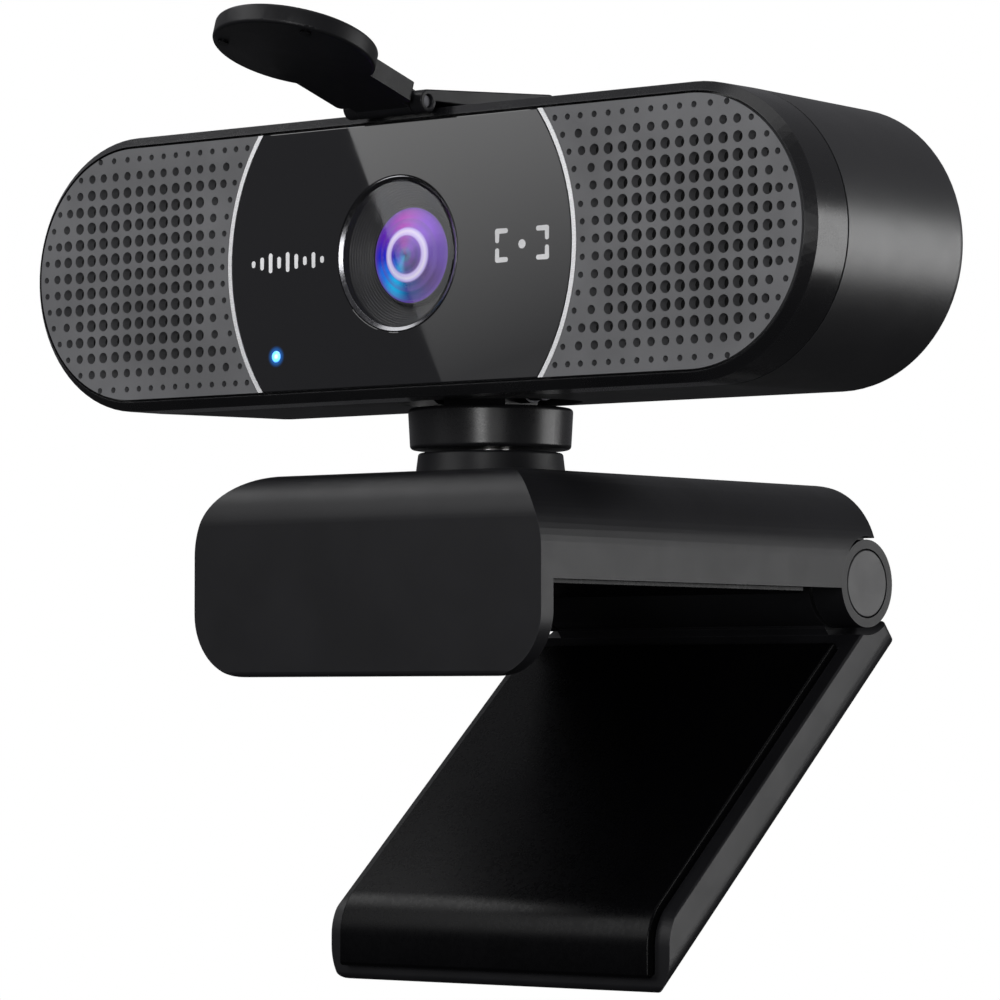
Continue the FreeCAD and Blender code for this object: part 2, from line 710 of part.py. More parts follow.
def row_places(height):
    """Hole centres of one row: straight columns inside, and ends that hug the border."""
    start = math.sqrt((panel_radius + trim_width) ** 2 - height ** 2) + hole_margin
    end = face_half - face_radius + math.sqrt(face_radius ** 2 - height ** 2) - hole_margin
    middle = (panel_radius + trim_width + face_half) / 2
    reach = int(face_half / hole_pitch)
    columns = [middle + (k + 0.5) * hole_pitch for k in range(-reach, reach)]
    inner = [x for x in columns if start + 1.5 * hole_pitch < x < end - 1.5 * hole_pitch]
    return [start, (start + inner[0]) / 2] + inner + [(inner[-1] + end) / 2, end]


def grille_holes():
    reach = int((face_radius - hole_margin) / hole_pitch)   # rows above the middle one
    holes = []
    for row in range(-reach, reach + 1):
        places = row_places(row * hole_pitch)
        for k, x in enumerate(places):
            rank = min(k, len(places) - 1 - k, reach - abs(row), len(hole_radii) - 1)
            holes.append((x, row * hole_pitch, hole_radii[rank]))
    return holes


def grille_right():
    plate = Part.Face(grille_outline(0, 0)).extrude(V(0, plate_thick, 0))
    drills = [rod_y(radius, x, (-1, plate_thick + 1), z) for x, z, radius in grille_holes()]
    return plate.cut(Part.makeCompound(drills))


def mesh_right():
    front = plate_thick + run / 2
    return Part.Face(grille_outline(0.3, front)).extrude(V(0, mesh_thick, 0))


# ================================================================ electronics and camera
def mic_boots():
    return both_sides(tube_y(3.2, 0.8, mic_x, (web_back, web_back + 1.7), 0))


def mic_capsules():
    start = web_back + 1.7
    return both_sides(box((mic_x - 1.75, mic_x + 1.75), (start, start + 1.0), (-1.3, 1.3)))


def mic_boards():
    start = web_back + 2.7
    height = (-mic_board_half, mic_board_half)
    return both_sides(box((mic_x - 2.6, mic_x + 4.4), (start, start + 0.8), height))


def light_pipe():
    return rod_y(light_radius, light_x, (plate_thick + mask_thick, board_front - 0.6), light_z)


def light_chip():
    return box((light_x - 0.8, light_x + 0.8), (board_front - 0.6, board_front),
               (light_z - 0.4, light_z + 0.4))


def lens_surround():
    front, back = plate_thick + mask_thick + run, web_back + 0.2
    ring = rod_y(surround_radius, 0, (front, back), 0)
    cone = cone_y(lens_window_radius, nose_radius + nose_gap, (front, 2.6))
    return ring.cut([cone, rod_y(nose_radius + nose_gap, 0, (front, back + 1), 0)])


def focus_housing():
    half = focus_block / 2
    front = web_back + 0.3
    block = prism_y([(-half, -half, 1.2), (half, -half, 1.2), (half, half, 1.2), (-half, half, 1.2)],
                    (front, board_front))
    cuts = [rod_y(barrel_radius + run, 0, (front - 1, 6), 0), rod_y(coil_radius + loose, 0, (5.0, 8.8), 0),
            box((-6, 6), (8.7, board_front + 1), (-6, 6))]
    return block.cut(cuts + [four_corners(magnet_block, 6.4, 6.4)])


def magnet_block(x, z):
    return box((x - 1.2, x + 1.2), (5.4, 8.4), (z - 1.2, z + 1.2))


def lens_barrel():
    nose = rod_y(nose_radius, 0, (2.3, 3.7), 0)
    body = rod_y(barrel_radius, 0, (3.6, 8.0), 0)
    cuts = [rod_y(front_lens_radius + screw_fit, 0, (2, 4.6), 0),
            cone_y(2.6, 4.2, (4.5, 7.0)), rod_y(4.2 + screw_fit, 0, (6.9, 9), 0)]
    return join(nose, body).cut(cuts)


def front_lens():
    sag = front_lens_curve - math.sqrt(front_lens_curve ** 2 - front_lens_radius ** 2)
    rim = 2.65
    ball = Part.makeSphere(front_lens_curve, V(0, rim - sag + front_lens_curve, 0))
    return rod_y(front_lens_radius, 0, (rim - sag, 4.55), 0).common(ball)


def rear_lens():
    return rod_y(4.2, 0, (7.05, 7.9), 0)


def focus_coil():
    return tube_y(coil_radius, barrel_radius + screw_fit, 0, (5.6, 8.0), 0)


def ir_filter():
    return box((-4.8, 4.8), (8.8, 9.1), (-4.8, 4.8))


def image_sensor():
    return box((-4.2, 4.2), (9.2, board_front), (-4.0, 4.0))


def main_board():
    outline = [(-board_half, -board_edge, 1.5), (-block_half, -board_edge, 0),
               (-block_half, board_notch, 0), (block_half, board_notch, 0),
               (block_half, -board_edge, 0), (board_half, -board_edge, 1.5),
               (board_half, board_edge, 1.5), (-board_half, board_edge, 1.5)]
    board = prism_y(outline, (board_front, board_back))
    return board.cut(four_corners(lambda x, z: rod_y(0.95, x, (9, 13), z), board_screw_x, board_screw_z))


def board_screws():
    def screw(x, z):
        head = rod_y(1.6, x, (board_back, board_back + 1.0), z)
        return head.fuse(rod_y(0.8 - screw_fit, x, (5.5, board_back), z))
    return four_corners(screw, board_screw_x, board_screw_z)


def image_processor():
    return box((-8, 2), (board_back, board_back + 1.0), (-4, 6))


def shield_can():
    can = box((-11, 5), (board_back, board_back + 2.0), (-6, 8))
    return can.cut(box((-10.8, 4.8), (board_back - 1, board_back + 1.8), (-5.8, 7.8)))


def board_connector():
    body = box((13, 21), (board_back, board_back + 3.6), (-1.6, 1.6))
    return body.cut(box((13.6, 20.4), (board_back + 0.8, board_back + 4), (-1.1, 1.1)))


# ================================================================ tilt joint, in the head's frame
ear_low = tongue_width / 2 + loose
ear_high = ear_low + 1.2


def tilt_bracket():
    plate = box((-14.2, 14.2), (board_back + snug, neck_y + 6.6), (roof_top, roof_top + 1.0))
    plate = plate.cut(box((-7.5, 7.5), (neck_y - 3.1, neck_y + 3.1), (roof_top - 1, roof_top + 2)))
    strip = box((ear_low, ear_high), (board_back + snug, neck_y + 3.6), (roof_top, roof_top + 1.0))
    ear = box((ear_low, ear_high), (neck_y - 2.2, neck_y + 2.2), (tilt_local, roof_top + 0.5))
    eye = rod_x(2.2, (ear_low, ear_high), neck_y, tilt_local)
    arms = [strip, ear, eye]
    bracket = plate.fuse(arms + [mirrored(a) for a in arms]).removeSplitter()
    cuts = [rod_x(tilt_pin_radius + screw_fit, (-8, 8), neck_y, tilt_local)]
    for x, y in bracket_screws_at:
        cuts.append(rod_z(0.8, x, neck_y + y, (roof_top - 1, roof_top + 2)))
    return bracket.cut(cuts)


def bracket_screws():
    screws = []
    for x, y in bracket_screws_at:
        head = rod_z(1.4, x, neck_y + y, (roof_top + 1.0, roof_top + 1.8))
        screws.append(head.fuse(rod_z(0.68, x, neck_y + y, (roof_top - 2.5, roof_top + 1.0))))
    return Part.makeCompound(screws)


def tilt_pin():
    shank = rod_x(tilt_pin_radius, (-ear_high, ear_high + 1.6), neck_y, tilt_local)
    head = rod_x(1.9, (-ear_high - 1.0, -ear_high), neck_y, tilt_local)
    return join(shank, head)


def tilt_washers():
    ring = tube_x(2.2, tilt_pin_radius + snug, (tongue_width / 2 + run, ear_low), neck_y, tilt_local)
    return both_sides(ring)


def tilt_spring():
    return tube_x(2.0, tilt_pin_radius + snug, (ear_high, ear_high + 0.5), neck_y, tilt_local)


def tilt_nut():
    return tube_x(2.0, tilt_pin_radius + screw_fit, (ear_high + 0.5, ear_high + 1.5), neck_y, tilt_local)


# ================================================================ lens cover
def cover_base():
    hinge_y, hinge_z = -cover_ahead, cover_up
    half = cover_hinge_width / 2
    top = hinge_z + cover_knuckle_radius
    side_view = [(hinge_y, top, 0), (hinge_y, hinge_z, 0), (5.0, hinge_z + 0.1, 0.8),
                 (6.4, pill_radius - 0.5, 0), (cover_foot_length, pill_radius - 0.5, 0),
                 (cover_foot_length - 1.2, top + 1.4, 1.0)]
    foot = prism_x(side_view, (-half, half))
    foot = foot.fuse(rod_x(cover_knuckle_radius, (-half, half), hinge_y, hinge_z))
    middle = half - cover_ear
    swing = cover_knuckle_radius + loose
    foot = foot.cut(box((-middle, middle), (hinge_y - 3, hinge_y + swing), (hinge_z - 3, hinge_z + 3)))
    foot = foot.cut(rod_x(cover_pin_radius + screw_fit, (-half - 1, half + 1), hinge_y, hinge_z))
    bezel_block = pill(head_width / 2, pill_radius, (0, body_front))
    body_block = tapered_pill((head_width / 2, pill_radius), (body_back_half, body_back_radius),
                              (body_front, head_depth))
    return foot.cut([bezel_block, body_block])


def cover_pin():
    half = cover_hinge_width / 2 - 0.3
    return rod_x(cover_pin_radius, (-half, half), -cover_ahead, cover_up)


def cover_disc():
    front = cover_back - cover_thick
    disc = rod_y(cover_radius, 0, (front, cover_back), -cover_up)
    disc = disc.makeFillet(0.35, [e for e in disc.Edges if e.Closed])
    barrel_reach = cover_hinge_width / 2 - cover_ear - snug
    tab_top = -cover_knuckle_radius - 0.7
    half = cover_tab_width / 2
    tab_corners = [(-half, -cover_up, 0), (half, -cover_up, 0), (half, tab_top, 0.6), (-half, tab_top, 0.6)]
    tab = prism_y(tab_corners, (front, cover_back))
    neck = box((-barrel_reach, barrel_reach), (front, cover_back), (tab_top - 1, 0))
    barrel = rod_x(cover_knuckle_radius, (-barrel_reach, barrel_reach), 0, 0)
    disc = join(disc, tab, neck, barrel)
    return disc.cut(rod_x(cover_pin_radius + run, (-half - 1, half + 1), 0, 0))


def cover_nubs():
    tip = cover_back + nub_proud
    return both_sides(rod_y(nub_radius, nub_across, (cover_back, tip), -cover_up - nub_below))


# ================================================================ build every node
clip_nodes = {"arm_shell": arm_shell, "arm_base_plate": arm_base_plate, "base_screws": base_screws,
              "rest_pad": rest_pad, "lip_pad": lip_pad, "swivel_collar": swivel_collar,
              "hinge_pin": hinge_pin, "hinge_caps": hinge_caps, "hinge_washers": hinge_washers}
neck_nodes = {"neck_cup": neck_cup, "swivel_stud": swivel_stud, "swivel_washer": swivel_washer,
              "swivel_spring": swivel_spring, "swivel_nut": swivel_nut}
leg_nodes = {"leg_shell": leg_shell, "leg_pad": leg_pad, "leg_plate": leg_plate,
             "leg_screws": leg_screws, "tripod_insert": tripod_insert}
head_nodes = {"front_bezel": front_bezel, "rear_housing": rear_housing, "housing_screws": housing_screws,
              "cable_gland": cable_gland, "panel_glass": panel_glass, "panel_mask": panel_mask,
              "trim_right": trim_right, "trim_left": lambda: mirrored(trim_right()),
              "grille_right": grille_right, "grille_left": lambda: mirrored(grille_right()),
              "mesh_right": mesh_right, "mesh_left": lambda: mirrored(mesh_right()),
              "mic_boots": mic_boots, "mic_capsules": mic_capsules, "mic_boards": mic_boards,
              "light_pipe": light_pipe, "light_chip": light_chip, "lens_surround": lens_surround,
              "focus_housing": focus_housing,
              "focus_magnets": lambda: four_corners(magnet_block, 6.4, 6.4),
              "ir_filter": ir_filter, "image_sensor": image_sensor, "main_board": main_board,
              "board_screws": board_screws, "image_processor": image_processor,
              "shield_can": shield_can, "board_connector": board_connector,
              "tilt_bracket": tilt_bracket, "bracket_screws": bracket_screws, "tilt_pin": tilt_pin,
              "tilt_washers": tilt_washers, "tilt_spring": tilt_spring, "tilt_nut": tilt_nut,
              "cover_base": cover_base, "cover_pin": cover_pin}
lens_nodes = {"lens_barrel": lens_barrel, "front_lens": front_lens, "rear_lens": rear_lens,
              "focus_coil": focus_coil}
cover_nodes = {"cover_disc": cover_disc, "cover_nubs": cover_nubs}

os.makedirs("parts", exist_ok=True)
for nodes, place in ((clip_nodes, None), (neck_nodes, None), (leg_nodes, on_leg),
                     (head_nodes, on_head), (lens_nodes, on_head), (cover_nodes, on_cover)):
    for node, make in nodes.items():
        shape = make()
        save(node, place(shape) if place else shape)

print("tilt axis z", round(tilt_height, 3), " head centre z", round(head_centre, 3))
print("cover axis y", round(-head_ahead - cover_ahead, 3), " z", round(head_centre + cover_up, 3))
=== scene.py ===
# %% [markdown]
# # A clip-on desktop camera
# This notebook dresses a finished mechanical model of a small desktop camera: a wide,
# pill-shaped head with a flip-up lens cover, a neck, and a clip with a folding leg.
# The mechanical model says where every part is. Here each part gets its real surface,
# and the parts people look at closely (the glass front, the lens, the pads, the marks)
# are modelled again with more care. We start with an empty scene, so that nothing from
# Blender's start-up file is left beside the model.

# %% Load the mechanical model
import json
import math

import bmesh
import bpy
from mathutils import Matrix, Vector

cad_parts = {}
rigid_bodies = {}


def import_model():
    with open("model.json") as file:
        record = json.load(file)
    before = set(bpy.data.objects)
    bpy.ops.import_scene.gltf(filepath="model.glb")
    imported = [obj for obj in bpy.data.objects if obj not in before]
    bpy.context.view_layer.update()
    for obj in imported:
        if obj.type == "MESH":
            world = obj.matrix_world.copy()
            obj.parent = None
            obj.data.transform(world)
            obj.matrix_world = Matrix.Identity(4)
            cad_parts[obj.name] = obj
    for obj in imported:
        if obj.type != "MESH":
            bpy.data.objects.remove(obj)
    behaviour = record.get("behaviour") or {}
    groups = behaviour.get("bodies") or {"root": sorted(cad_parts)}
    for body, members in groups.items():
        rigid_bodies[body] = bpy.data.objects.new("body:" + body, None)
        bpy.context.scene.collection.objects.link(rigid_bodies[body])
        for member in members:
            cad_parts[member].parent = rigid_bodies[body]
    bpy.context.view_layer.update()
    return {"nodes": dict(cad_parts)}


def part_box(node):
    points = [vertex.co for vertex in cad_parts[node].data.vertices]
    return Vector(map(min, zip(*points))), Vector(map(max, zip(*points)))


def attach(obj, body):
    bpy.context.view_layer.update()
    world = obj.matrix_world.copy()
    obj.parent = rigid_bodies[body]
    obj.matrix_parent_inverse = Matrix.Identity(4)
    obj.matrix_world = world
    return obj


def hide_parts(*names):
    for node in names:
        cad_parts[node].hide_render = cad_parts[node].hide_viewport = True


for leftover in list(bpy.data.objects):
    bpy.data.objects.remove(leftover)
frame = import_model()
nodes = frame["nodes"]

# %% [markdown]
# ## Places that several parts share
# Blender works in metres, and a camera is measured in millimetres, so `MM` turns one
# into the other. The lens axis, the face of the head and the clip's hinge are read from
# the mechanical parts instead of being typed in, so they can never drift apart.

# %% Shared places
MM = 0.001


def middle(node):
    low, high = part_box(node)
    return (low + high) / 2


glass_low, glass_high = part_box("panel_glass")
lens_axis = Vector((0.0, 0.0, middle("panel_glass").z))
face_y = glass_low.y
hinge = middle("hinge_pin")
leg_slope = math.radians(41.0)
round_steps = 128
to_leg = Matrix.Translation(hinge) @ Matrix.Rotation(leg_slope, 4, "X")
print("lens axis height", round(lens_axis.z / MM, 2), "face", round(face_y / MM, 2))
print("clip hinge", [round(v / MM, 2) for v in hinge])

# %% [markdown]
# ## The viewpoint
# A product picture is taken from far away with a long lens, so that lines stay nearly
# parallel. The camera stands about half a metre off, ahead and to the right, a little
# lower than the head, and looks slightly up. A 174 mm lens then fills the frame.

# %% Camera
camera_place = Vector((0.30795, -0.37638, -0.01178))
camera_pitch, camera_heading = math.radians(92.461), math.radians(39.179)
camera_data = bpy.data.cameras.new("studio_camera")
camera_data.lens = 174.0
camera_data.sensor_width = 36.0
camera_data.clip_start = 0.01
camera = bpy.data.objects.new("studio_camera", camera_data)
camera.location = camera_place
camera.rotation_euler = (camera_pitch, 0.0, camera_heading)
bpy.context.scene.collection.objects.link(camera)
bpy.context.scene.camera = camera
print("camera stands", round(camera_place.length, 3), "m from the swivel")

# %% [markdown]
# ## The studio
# Dark plastic shows its shape by what it mirrors, not by its own colour. So the studio
# is a bright surround for the eye and a dim grey one for the surfaces. The grey gets
# darker below the horizon, because light seldom comes from below and the undersides
# should stay dark. The view transform is the plain one, so that white stays white.

# %% Surround


def graded(tree, source, start, end, low, high):
    """Turns a value that runs from start to end into one that runs from low to high."""
    node = tree.nodes.new("ShaderNodeMapRange")
    limits = {"From Min": start, "From Max": end, "To Min": low, "To Max": high}
    for socket, value in limits.items():
        node.inputs[socket].default_value = value
    tree.links.new(source, node.inputs["Value"])
    return node.outputs["Result"]


surround_grey = (0.17, 0.17, 0.18, 1.0)
dark_from, bright_from, share_below = -0.15, 0.10, 0.15
bpy.context.scene.view_settings.view_transform = "Standard"
world = bpy.data.worlds.new("studio_surround")
bpy.context.scene.world = world
world.use_nodes = True
sky = world.node_tree
sky.nodes.clear()
seen = sky.nodes.new("ShaderNodeBackground")
seen.inputs["Color"].default_value = (1.0, 1.0, 1.0, 1.0)
lit = sky.nodes.new("ShaderNodeBackground")
lit.inputs["Color"].default_value = surround_grey
path = sky.nodes.new("ShaderNodeLightPath")
choose = sky.nodes.new("ShaderNodeMixShader")
sky_out = sky.nodes.new("ShaderNodeOutputWorld")
heading = sky.nodes.new("ShaderNodeTexCoord")
height = sky.nodes.new("ShaderNodeSeparateXYZ")
sky.links.new(heading.outputs["Generated"], height.inputs[0])
sky.links.new(graded(sky, height.outputs["Z"], dark_from, bright_from, share_below, 1.0),
              lit.inputs["Strength"])
sky.links.new(path.outputs["Is Camera Ray"], choose.inputs["Fac"])
sky.links.new(lit.outputs[0], choose.inputs[1])
sky.links.new(seen.outputs[0], choose.inputs[2])
sky.links.new(choose.outputs[0], sky_out.inputs["Surface"])
print("surround: white to the eye, grey to the surfaces")

# %% [markdown]
# ## The soft boxes
# Each soft box is there for one thing. The glass card makes the sharp diagonal on the
# front glass, and fades towards its bottom. The others make the long highlight on the
# clip's rolled edge, the broad band on the head's round end, the fill on the clip, the
# line down the neck with the glint in the ring, and the soft light on the tops.
# A soft box is given by how bright it looks, so its size can change without dimming it.

# %% Soft boxes


def soft_box(name, place, wide, high, radiance, aim=None, turn=None, fade=None):
    """An area light. Its power follows from how bright each bit of it should look.
    fade is (where the fall-off starts, where it ends, what is left), from the bottom."""
    light = bpy.data.lights.new(name, "AREA")
    light.shape = "RECTANGLE"
    light.size, light.size_y = wide, high
    light.energy = radiance * math.pi * wide * high
    if fade:
        light.use_nodes = True
        tree = light.node_tree
        spot = tree.nodes.new("ShaderNodeNewGeometry")
        parts = tree.nodes.new("ShaderNodeSeparateXYZ")
        start, end, least = fade
        tree.links.new(spot.outputs["Parametric"], parts.inputs[0])
        tree.links.new(graded(tree, parts.outputs["Y"], start, end, least, 1.0),
                       tree.nodes["Emission"].inputs["Strength"])
    lamp = bpy.data.objects.new(name, light)
    lamp.location = place
    if turn is None:
        lamp.rotation_euler = (Vector(aim) - Vector(place)).to_track_quat("-Z", "Y").to_euler()
    else:
        lamp.rotation_euler = [math.radians(a) for a in turn]
    lamp.visible_camera = False
    bpy.context.scene.collection.objects.link(lamp)


head_middle, neck_middle, clip_middle = (0.0, 0.0, 0.033), (0.0, 0.0, 0.02), (0.0, 0.0, 0.01)
soft_box("glass_card", (-0.2770, -0.5592, 0.3094), 0.42, 0.40, 2.9, turn=(84.178, -20.2, -38.236),
         fade=(0.03, 0.20, 0.14))
soft_box("roll_light", (-0.40, -0.19, 0.47), 0.34, 0.20, 3.4, aim=clip_middle)
soft_box("end_light", (0.62, 0.56, 0.01), 0.50, 0.40, 4.1, aim=head_middle)
soft_box("front_fill", (0.72, -0.66, 0.06), 0.30, 0.30, 1.6, aim=clip_middle)
soft_box("neck_light", (0.42, -0.86, 0.06), 0.16, 0.45, 12.0, aim=neck_middle)
soft_box("over_light", (0.10, -0.10, 0.70), 0.60, 0.50, 0.9, aim=neck_middle)

# %% [markdown]
# ## Finishes
# A finish is one Principled shader and a few nodes that feed it. `Finish` keeps the
# wiring short. Patterns are read from Object coordinates: every part is modelled where
# it really is, so one millimetre of grain is one millimetre on every part.
# Moulded plastic has three things that a flat colour lacks: a fine spark-eroded grain,
# slow changes in gloss where hands and moulds polished it, and paler worn edges.

# %% The finish helper


class Finish:
    """One material: a Principled shader, and short ways to wire patterns into it."""

    def __init__(self, name, **sockets):
        self.material = bpy.data.materials.new(name)
        self.material.use_nodes = True
        self.tree = self.material.node_tree
        self.shader = self.tree.nodes["Principled BSDF"]
        for socket, value in sockets.items():
            self.shader.inputs[socket.replace("_", " ")].default_value = value
        self.place = self.node("ShaderNodeTexCoord").outputs["Object"]

    def node(self, kind, inputs=None, **settings):
        made = self.tree.nodes.new(kind)
        for name, value in settings.items():
            setattr(made, name, value)
        for socket, value in (inputs or {}).items():
            if isinstance(value, bpy.types.NodeSocket):
                self.tree.links.new(value, made.inputs[socket])
            else:
                made.inputs[socket].default_value = value
        return made

    def feed(self, socket, source):
        self.tree.links.new(source, self.shader.inputs[socket])

    def moved(self, location=(0, 0, 0), turn=(0, 0, 0), scale=(1, 1, 1)):
        mapping = self.node("ShaderNodeMapping", {"Vector": self.place, "Location": location,
                                                  "Rotation": turn, "Scale": scale})
        return mapping.outputs["Vector"]

    def noise(self, size, detail=2.0, place=None, distortion=0.0):
        """Soft blotches about this many millimetres across."""
        texture = self.node("ShaderNodeTexNoise", {
            "Vector": place or self.place, "Scale": 1 / (size * MM), "Detail": detail,
            "Distortion": distortion})
        return texture.outputs["Fac"]

    def span(self, source, low, high, start=0.35, end=0.65):
        """Stretches a pattern's values from start..end to low..high."""
        node = self.node("ShaderNodeMapRange", {"Value": source, "From Min": start,
                                                "From Max": end, "To Min": low, "To Max": high})
        return node.outputs["Result"]

    def maths(self, operation, first, second=0.0):
        node = self.node("ShaderNodeMath", {0: first, 1: second}, operation=operation)
        return node.outputs["Value"]

    def ramp(self, source, *stops, smooth="LINEAR"):
        """Colours along a pattern; each stop is (where, colour)."""
        node = self.node("ShaderNodeValToRGB", {"Fac": source})
        band = node.color_ramp
        band.interpolation = smooth
        while len(band.elements) < len(stops):
            band.elements.new(0.5)
        for element, (where, colour) in zip(band.elements, stops):
            element.position = where
            element.color = (*colour, 1.0)
        return node.outputs["Color"]

    def mix(self, factor, first, second):
        node = self.node("ShaderNodeMix", {"Factor": factor}, data_type="RGBA")
        for socket, value in ((node.inputs[6], first), (node.inputs[7], second)):
            if isinstance(value, bpy.types.NodeSocket):
                self.tree.links.new(value, socket)
            else:
                socket.default_value = (*value, 1.0)
        return node.outputs[2]

    def edges(self, radius):
        """1 along convex and concave edges, 0 on flats."""
        rounded = self.node("ShaderNodeBevel", {"Radius": radius * MM}, samples=4)
        flat = self.node("ShaderNodeNewGeometry")
        facing = self.node("ShaderNodeVectorMath", {0: rounded.outputs[0],
                                                    1: flat.outputs["Normal"]},
                           operation="DOT_PRODUCT")
        return self.span(facing.outputs["Value"], 0.0, 1.0, start=0.995, end=0.90)

    def relief(self, height, depth, strength=1.0):
        """Bump of this depth in millimetres."""
        bump = self.node("ShaderNodeBump", {"Height": height, "Strength": strength,
                                            "Distance": depth * MM})
        return bump.outputs["Normal"]

    def reach(self, centre, radius):
        """Distance from centre across the face, as a share of radius (mm), and its vector."""
        size = 1 / (radius * MM)
        place = self.moved(location=(-centre.x, 0, -centre.z))
        flat = self.node("ShaderNodeVectorMath", {0: place, 1: (size, 0, size)},
                         operation="MULTIPLY").outputs[0]
        length = self.node("ShaderNodeVectorMath", {0: flat}, operation="LENGTH")
        return length.outputs["Value"], flat


def moulded(name, colour, gloss, grain=0.10, depth=0.004, worn=None, **sockets):
    """Moulded plastic: grain, slow changes in gloss, and worn edges if worn is given."""
    finish = Finish(name, **sockets)
    blotches = finish.noise(9.0, detail=3.0)
    dark = tuple(c * 0.86 for c in colour)
    light = tuple(c * 1.14 for c in colour)
    tone = finish.ramp(blotches, (0.35, dark), (0.65, light))
    if worn:
        tone = finish.mix(finish.maths("MULTIPLY", finish.edges(0.22), 0.6), tone, worn)
    finish.feed("Base Color", tone)
    fine = finish.noise(grain, detail=2.0)
    scuffs = finish.noise(3.5, detail=4.0, distortion=0.6)
    wobble = finish.maths("ADD", finish.span(scuffs, gloss[0], gloss[1]),
                          finish.span(fine, -0.03, 0.03))
    finish.feed("Roughness", wobble)
    finish.feed("Normal", finish.relief(fine, depth))
    return finish


print("finish helper ready")

# %% [markdown]
# ## Plastics
# All the shells are the same black family, told apart by gloss: the head's front frame
# is nearly polished, the body and clip are satin, the speaker-like plates are matt and
# a shade greyer, and the neck sits in between.

# %% Plastics
finishes = {}
finishes["satin_plastic"] = moulded("satin_black_plastic", (0.011, 0.011, 0.0125), (0.39, 0.42),
                                    worn=(0.030, 0.030, 0.033), Specular_IOR_Level=0.24)
body_finish = moulded("satin_body_plastic", (0.011, 0.011, 0.0125), (0.37, 0.40),
                      worn=(0.034, 0.034, 0.037), Specular_IOR_Level=1.0)
finishes["bezel_plastic"] = moulded("polished_frame_plastic", (0.009, 0.009, 0.010), (0.23, 0.26),
                                    depth=0.0008, worn=(0.030, 0.030, 0.033))
finishes["neck_plastic"] = moulded("neck_black_plastic", (0.011, 0.011, 0.012), (0.28, 0.31),
                                   depth=0.001, worn=(0.03, 0.03, 0.032), Specular_IOR_Level=0.40)
finishes["hinge_cap_plastic"] = moulded("hinge_cap_black", (0.018, 0.018, 0.020), (0.40, 0.46))
finishes["grille_plastic"] = moulded("grille_grey_plastic", (0.140, 0.141, 0.147), (0.46, 0.52))
finishes["inner_plastic"] = moulded("inner_black_plastic", (0.010, 0.010, 0.011), (0.50, 0.60),
                                    grain=0.2, depth=0.008)
finishes["white_plastic"] = moulded("connector_white", (0.62, 0.60, 0.54), (0.40, 0.50))
print("plastics:", len(finishes))

# %% [markdown]
# ## Rubber and soft pads
# The pads that touch the screen are black silicone. It is darker and smoother than the
# plastic, with a faint orange-peel surface that blurs a highlight without hiding it.

# %% Rubbers
pad = moulded("pad_silicone", (0.0018, 0.0018, 0.0022), (0.27, 0.30), grain=0.5, depth=0.0008,
              Specular_IOR_Level=0.11)
finishes["soft_pad"] = pad
finishes["black_rubber"] = moulded("gland_rubber", (0.012, 0.012, 0.012), (0.55, 0.68),
                                   grain=0.25, depth=0.010)
print("rubbers ready")

# %% [markdown]
# ## Metals
# Each metal keeps the trace of how it was made: turned brass has streaks in one direction,
# plated steel a faint mottling, wound copper one groove for each turn of wire. The trim
# arcs beside the glass are brushed along their length, so their gloss is streaked.

# %% Metals


def metal(name, colour, gloss, streaks=(1.0, 1.0, 1.0), size=0.5, depth=0.003):
    """Bare or plated metal; streaks stretches the pattern along one direction."""
    finish = Finish(name, Metallic=1.0)
    place = finish.moved(scale=streaks)
    marks = finish.noise(size, detail=5.0, place=place)
    dark = tuple(c * 0.82 for c in colour)
    finish.feed("Base Color", finish.ramp(marks, (0.35, dark), (0.65, colour)))
    finish.feed("Roughness", finish.span(marks, gloss[0], gloss[1]))
    finish.feed("Normal", finish.relief(marks, depth, strength=0.5))
    return finish


finishes["steel"] = metal("plated_steel", (0.62, 0.61, 0.59), (0.26, 0.40))
blackened = metal("blackened_steel", (0.06, 0.06, 0.065), (0.34, 0.46))
finishes["magnet_metal"] = metal("nickel_magnet", (0.66, 0.63, 0.58), (0.18, 0.28))
finishes["brass"] = metal("turned_brass", (0.78, 0.57, 0.26), (0.22, 0.36), (6.0, 1.0, 1.0))
finishes["silver_trim"] = metal("polished_trim", (0.95, 0.95, 0.96), (0.42, 0.50), (1, 1, 4),
                                size=0.3, depth=0.0005)
finishes["mic_metal"] = metal("microphone_can", (0.70, 0.66, 0.52), (0.25, 0.35))
copper = Finish("wound_copper", Metallic=1.0)
turns = copper.node("ShaderNodeTexWave", {"Vector": copper.place, "Scale": 1 / (1.2 * MM),
                                          "Distortion": 0.4, "Detail": 1.0}, bands_direction="Y")
copper.feed("Base Color", copper.ramp(turns.outputs["Fac"], (0.0, (0.28, 0.08, 0.03)),
                                      (0.6, (0.80, 0.36, 0.20))))
copper.feed("Roughness", copper.span(copper.noise(0.4), 0.22, 0.36))
copper.feed("Normal", copper.relief(turns.outputs["Fac"], 0.03))
finishes["copper"] = copper
print("finishes so far:", len(finishes))

# %% [markdown]
# ## Board, cloth and small optics
# Nobody sees the circuit board until the head is opened, but it still gets a solder
# mask over copper tracks. The cloth behind the front holes is a plain weave of two
# crossed waves. The sensor has its fine grid, and the filter its reddish-cyan sheen.

# %% Board, cloth, filter and sensor
board = Finish("solder_mask_board", Coat_Weight=0.6, Coat_Roughness=0.15)
tracks = board.node("ShaderNodeTexBrick", {
    "Vector": board.moved(turn=(math.radians(90), 0, 0)), "Color1": (0.004, 0.045, 0.020, 1),
    "Color2": (0.005, 0.06, 0.026, 1), "Mortar": (0.012, 0.11, 0.045, 1),
    "Scale": 1 / (2.2 * MM), "Mortar Size": 0.06})
board.feed("Base Color", tracks.outputs["Color"])
board.feed("Roughness", board.span(board.noise(0.6), 0.35, 0.55))
board.feed("Normal", board.relief(tracks.outputs["Fac"], 0.02))
finishes["circuit_board"] = board

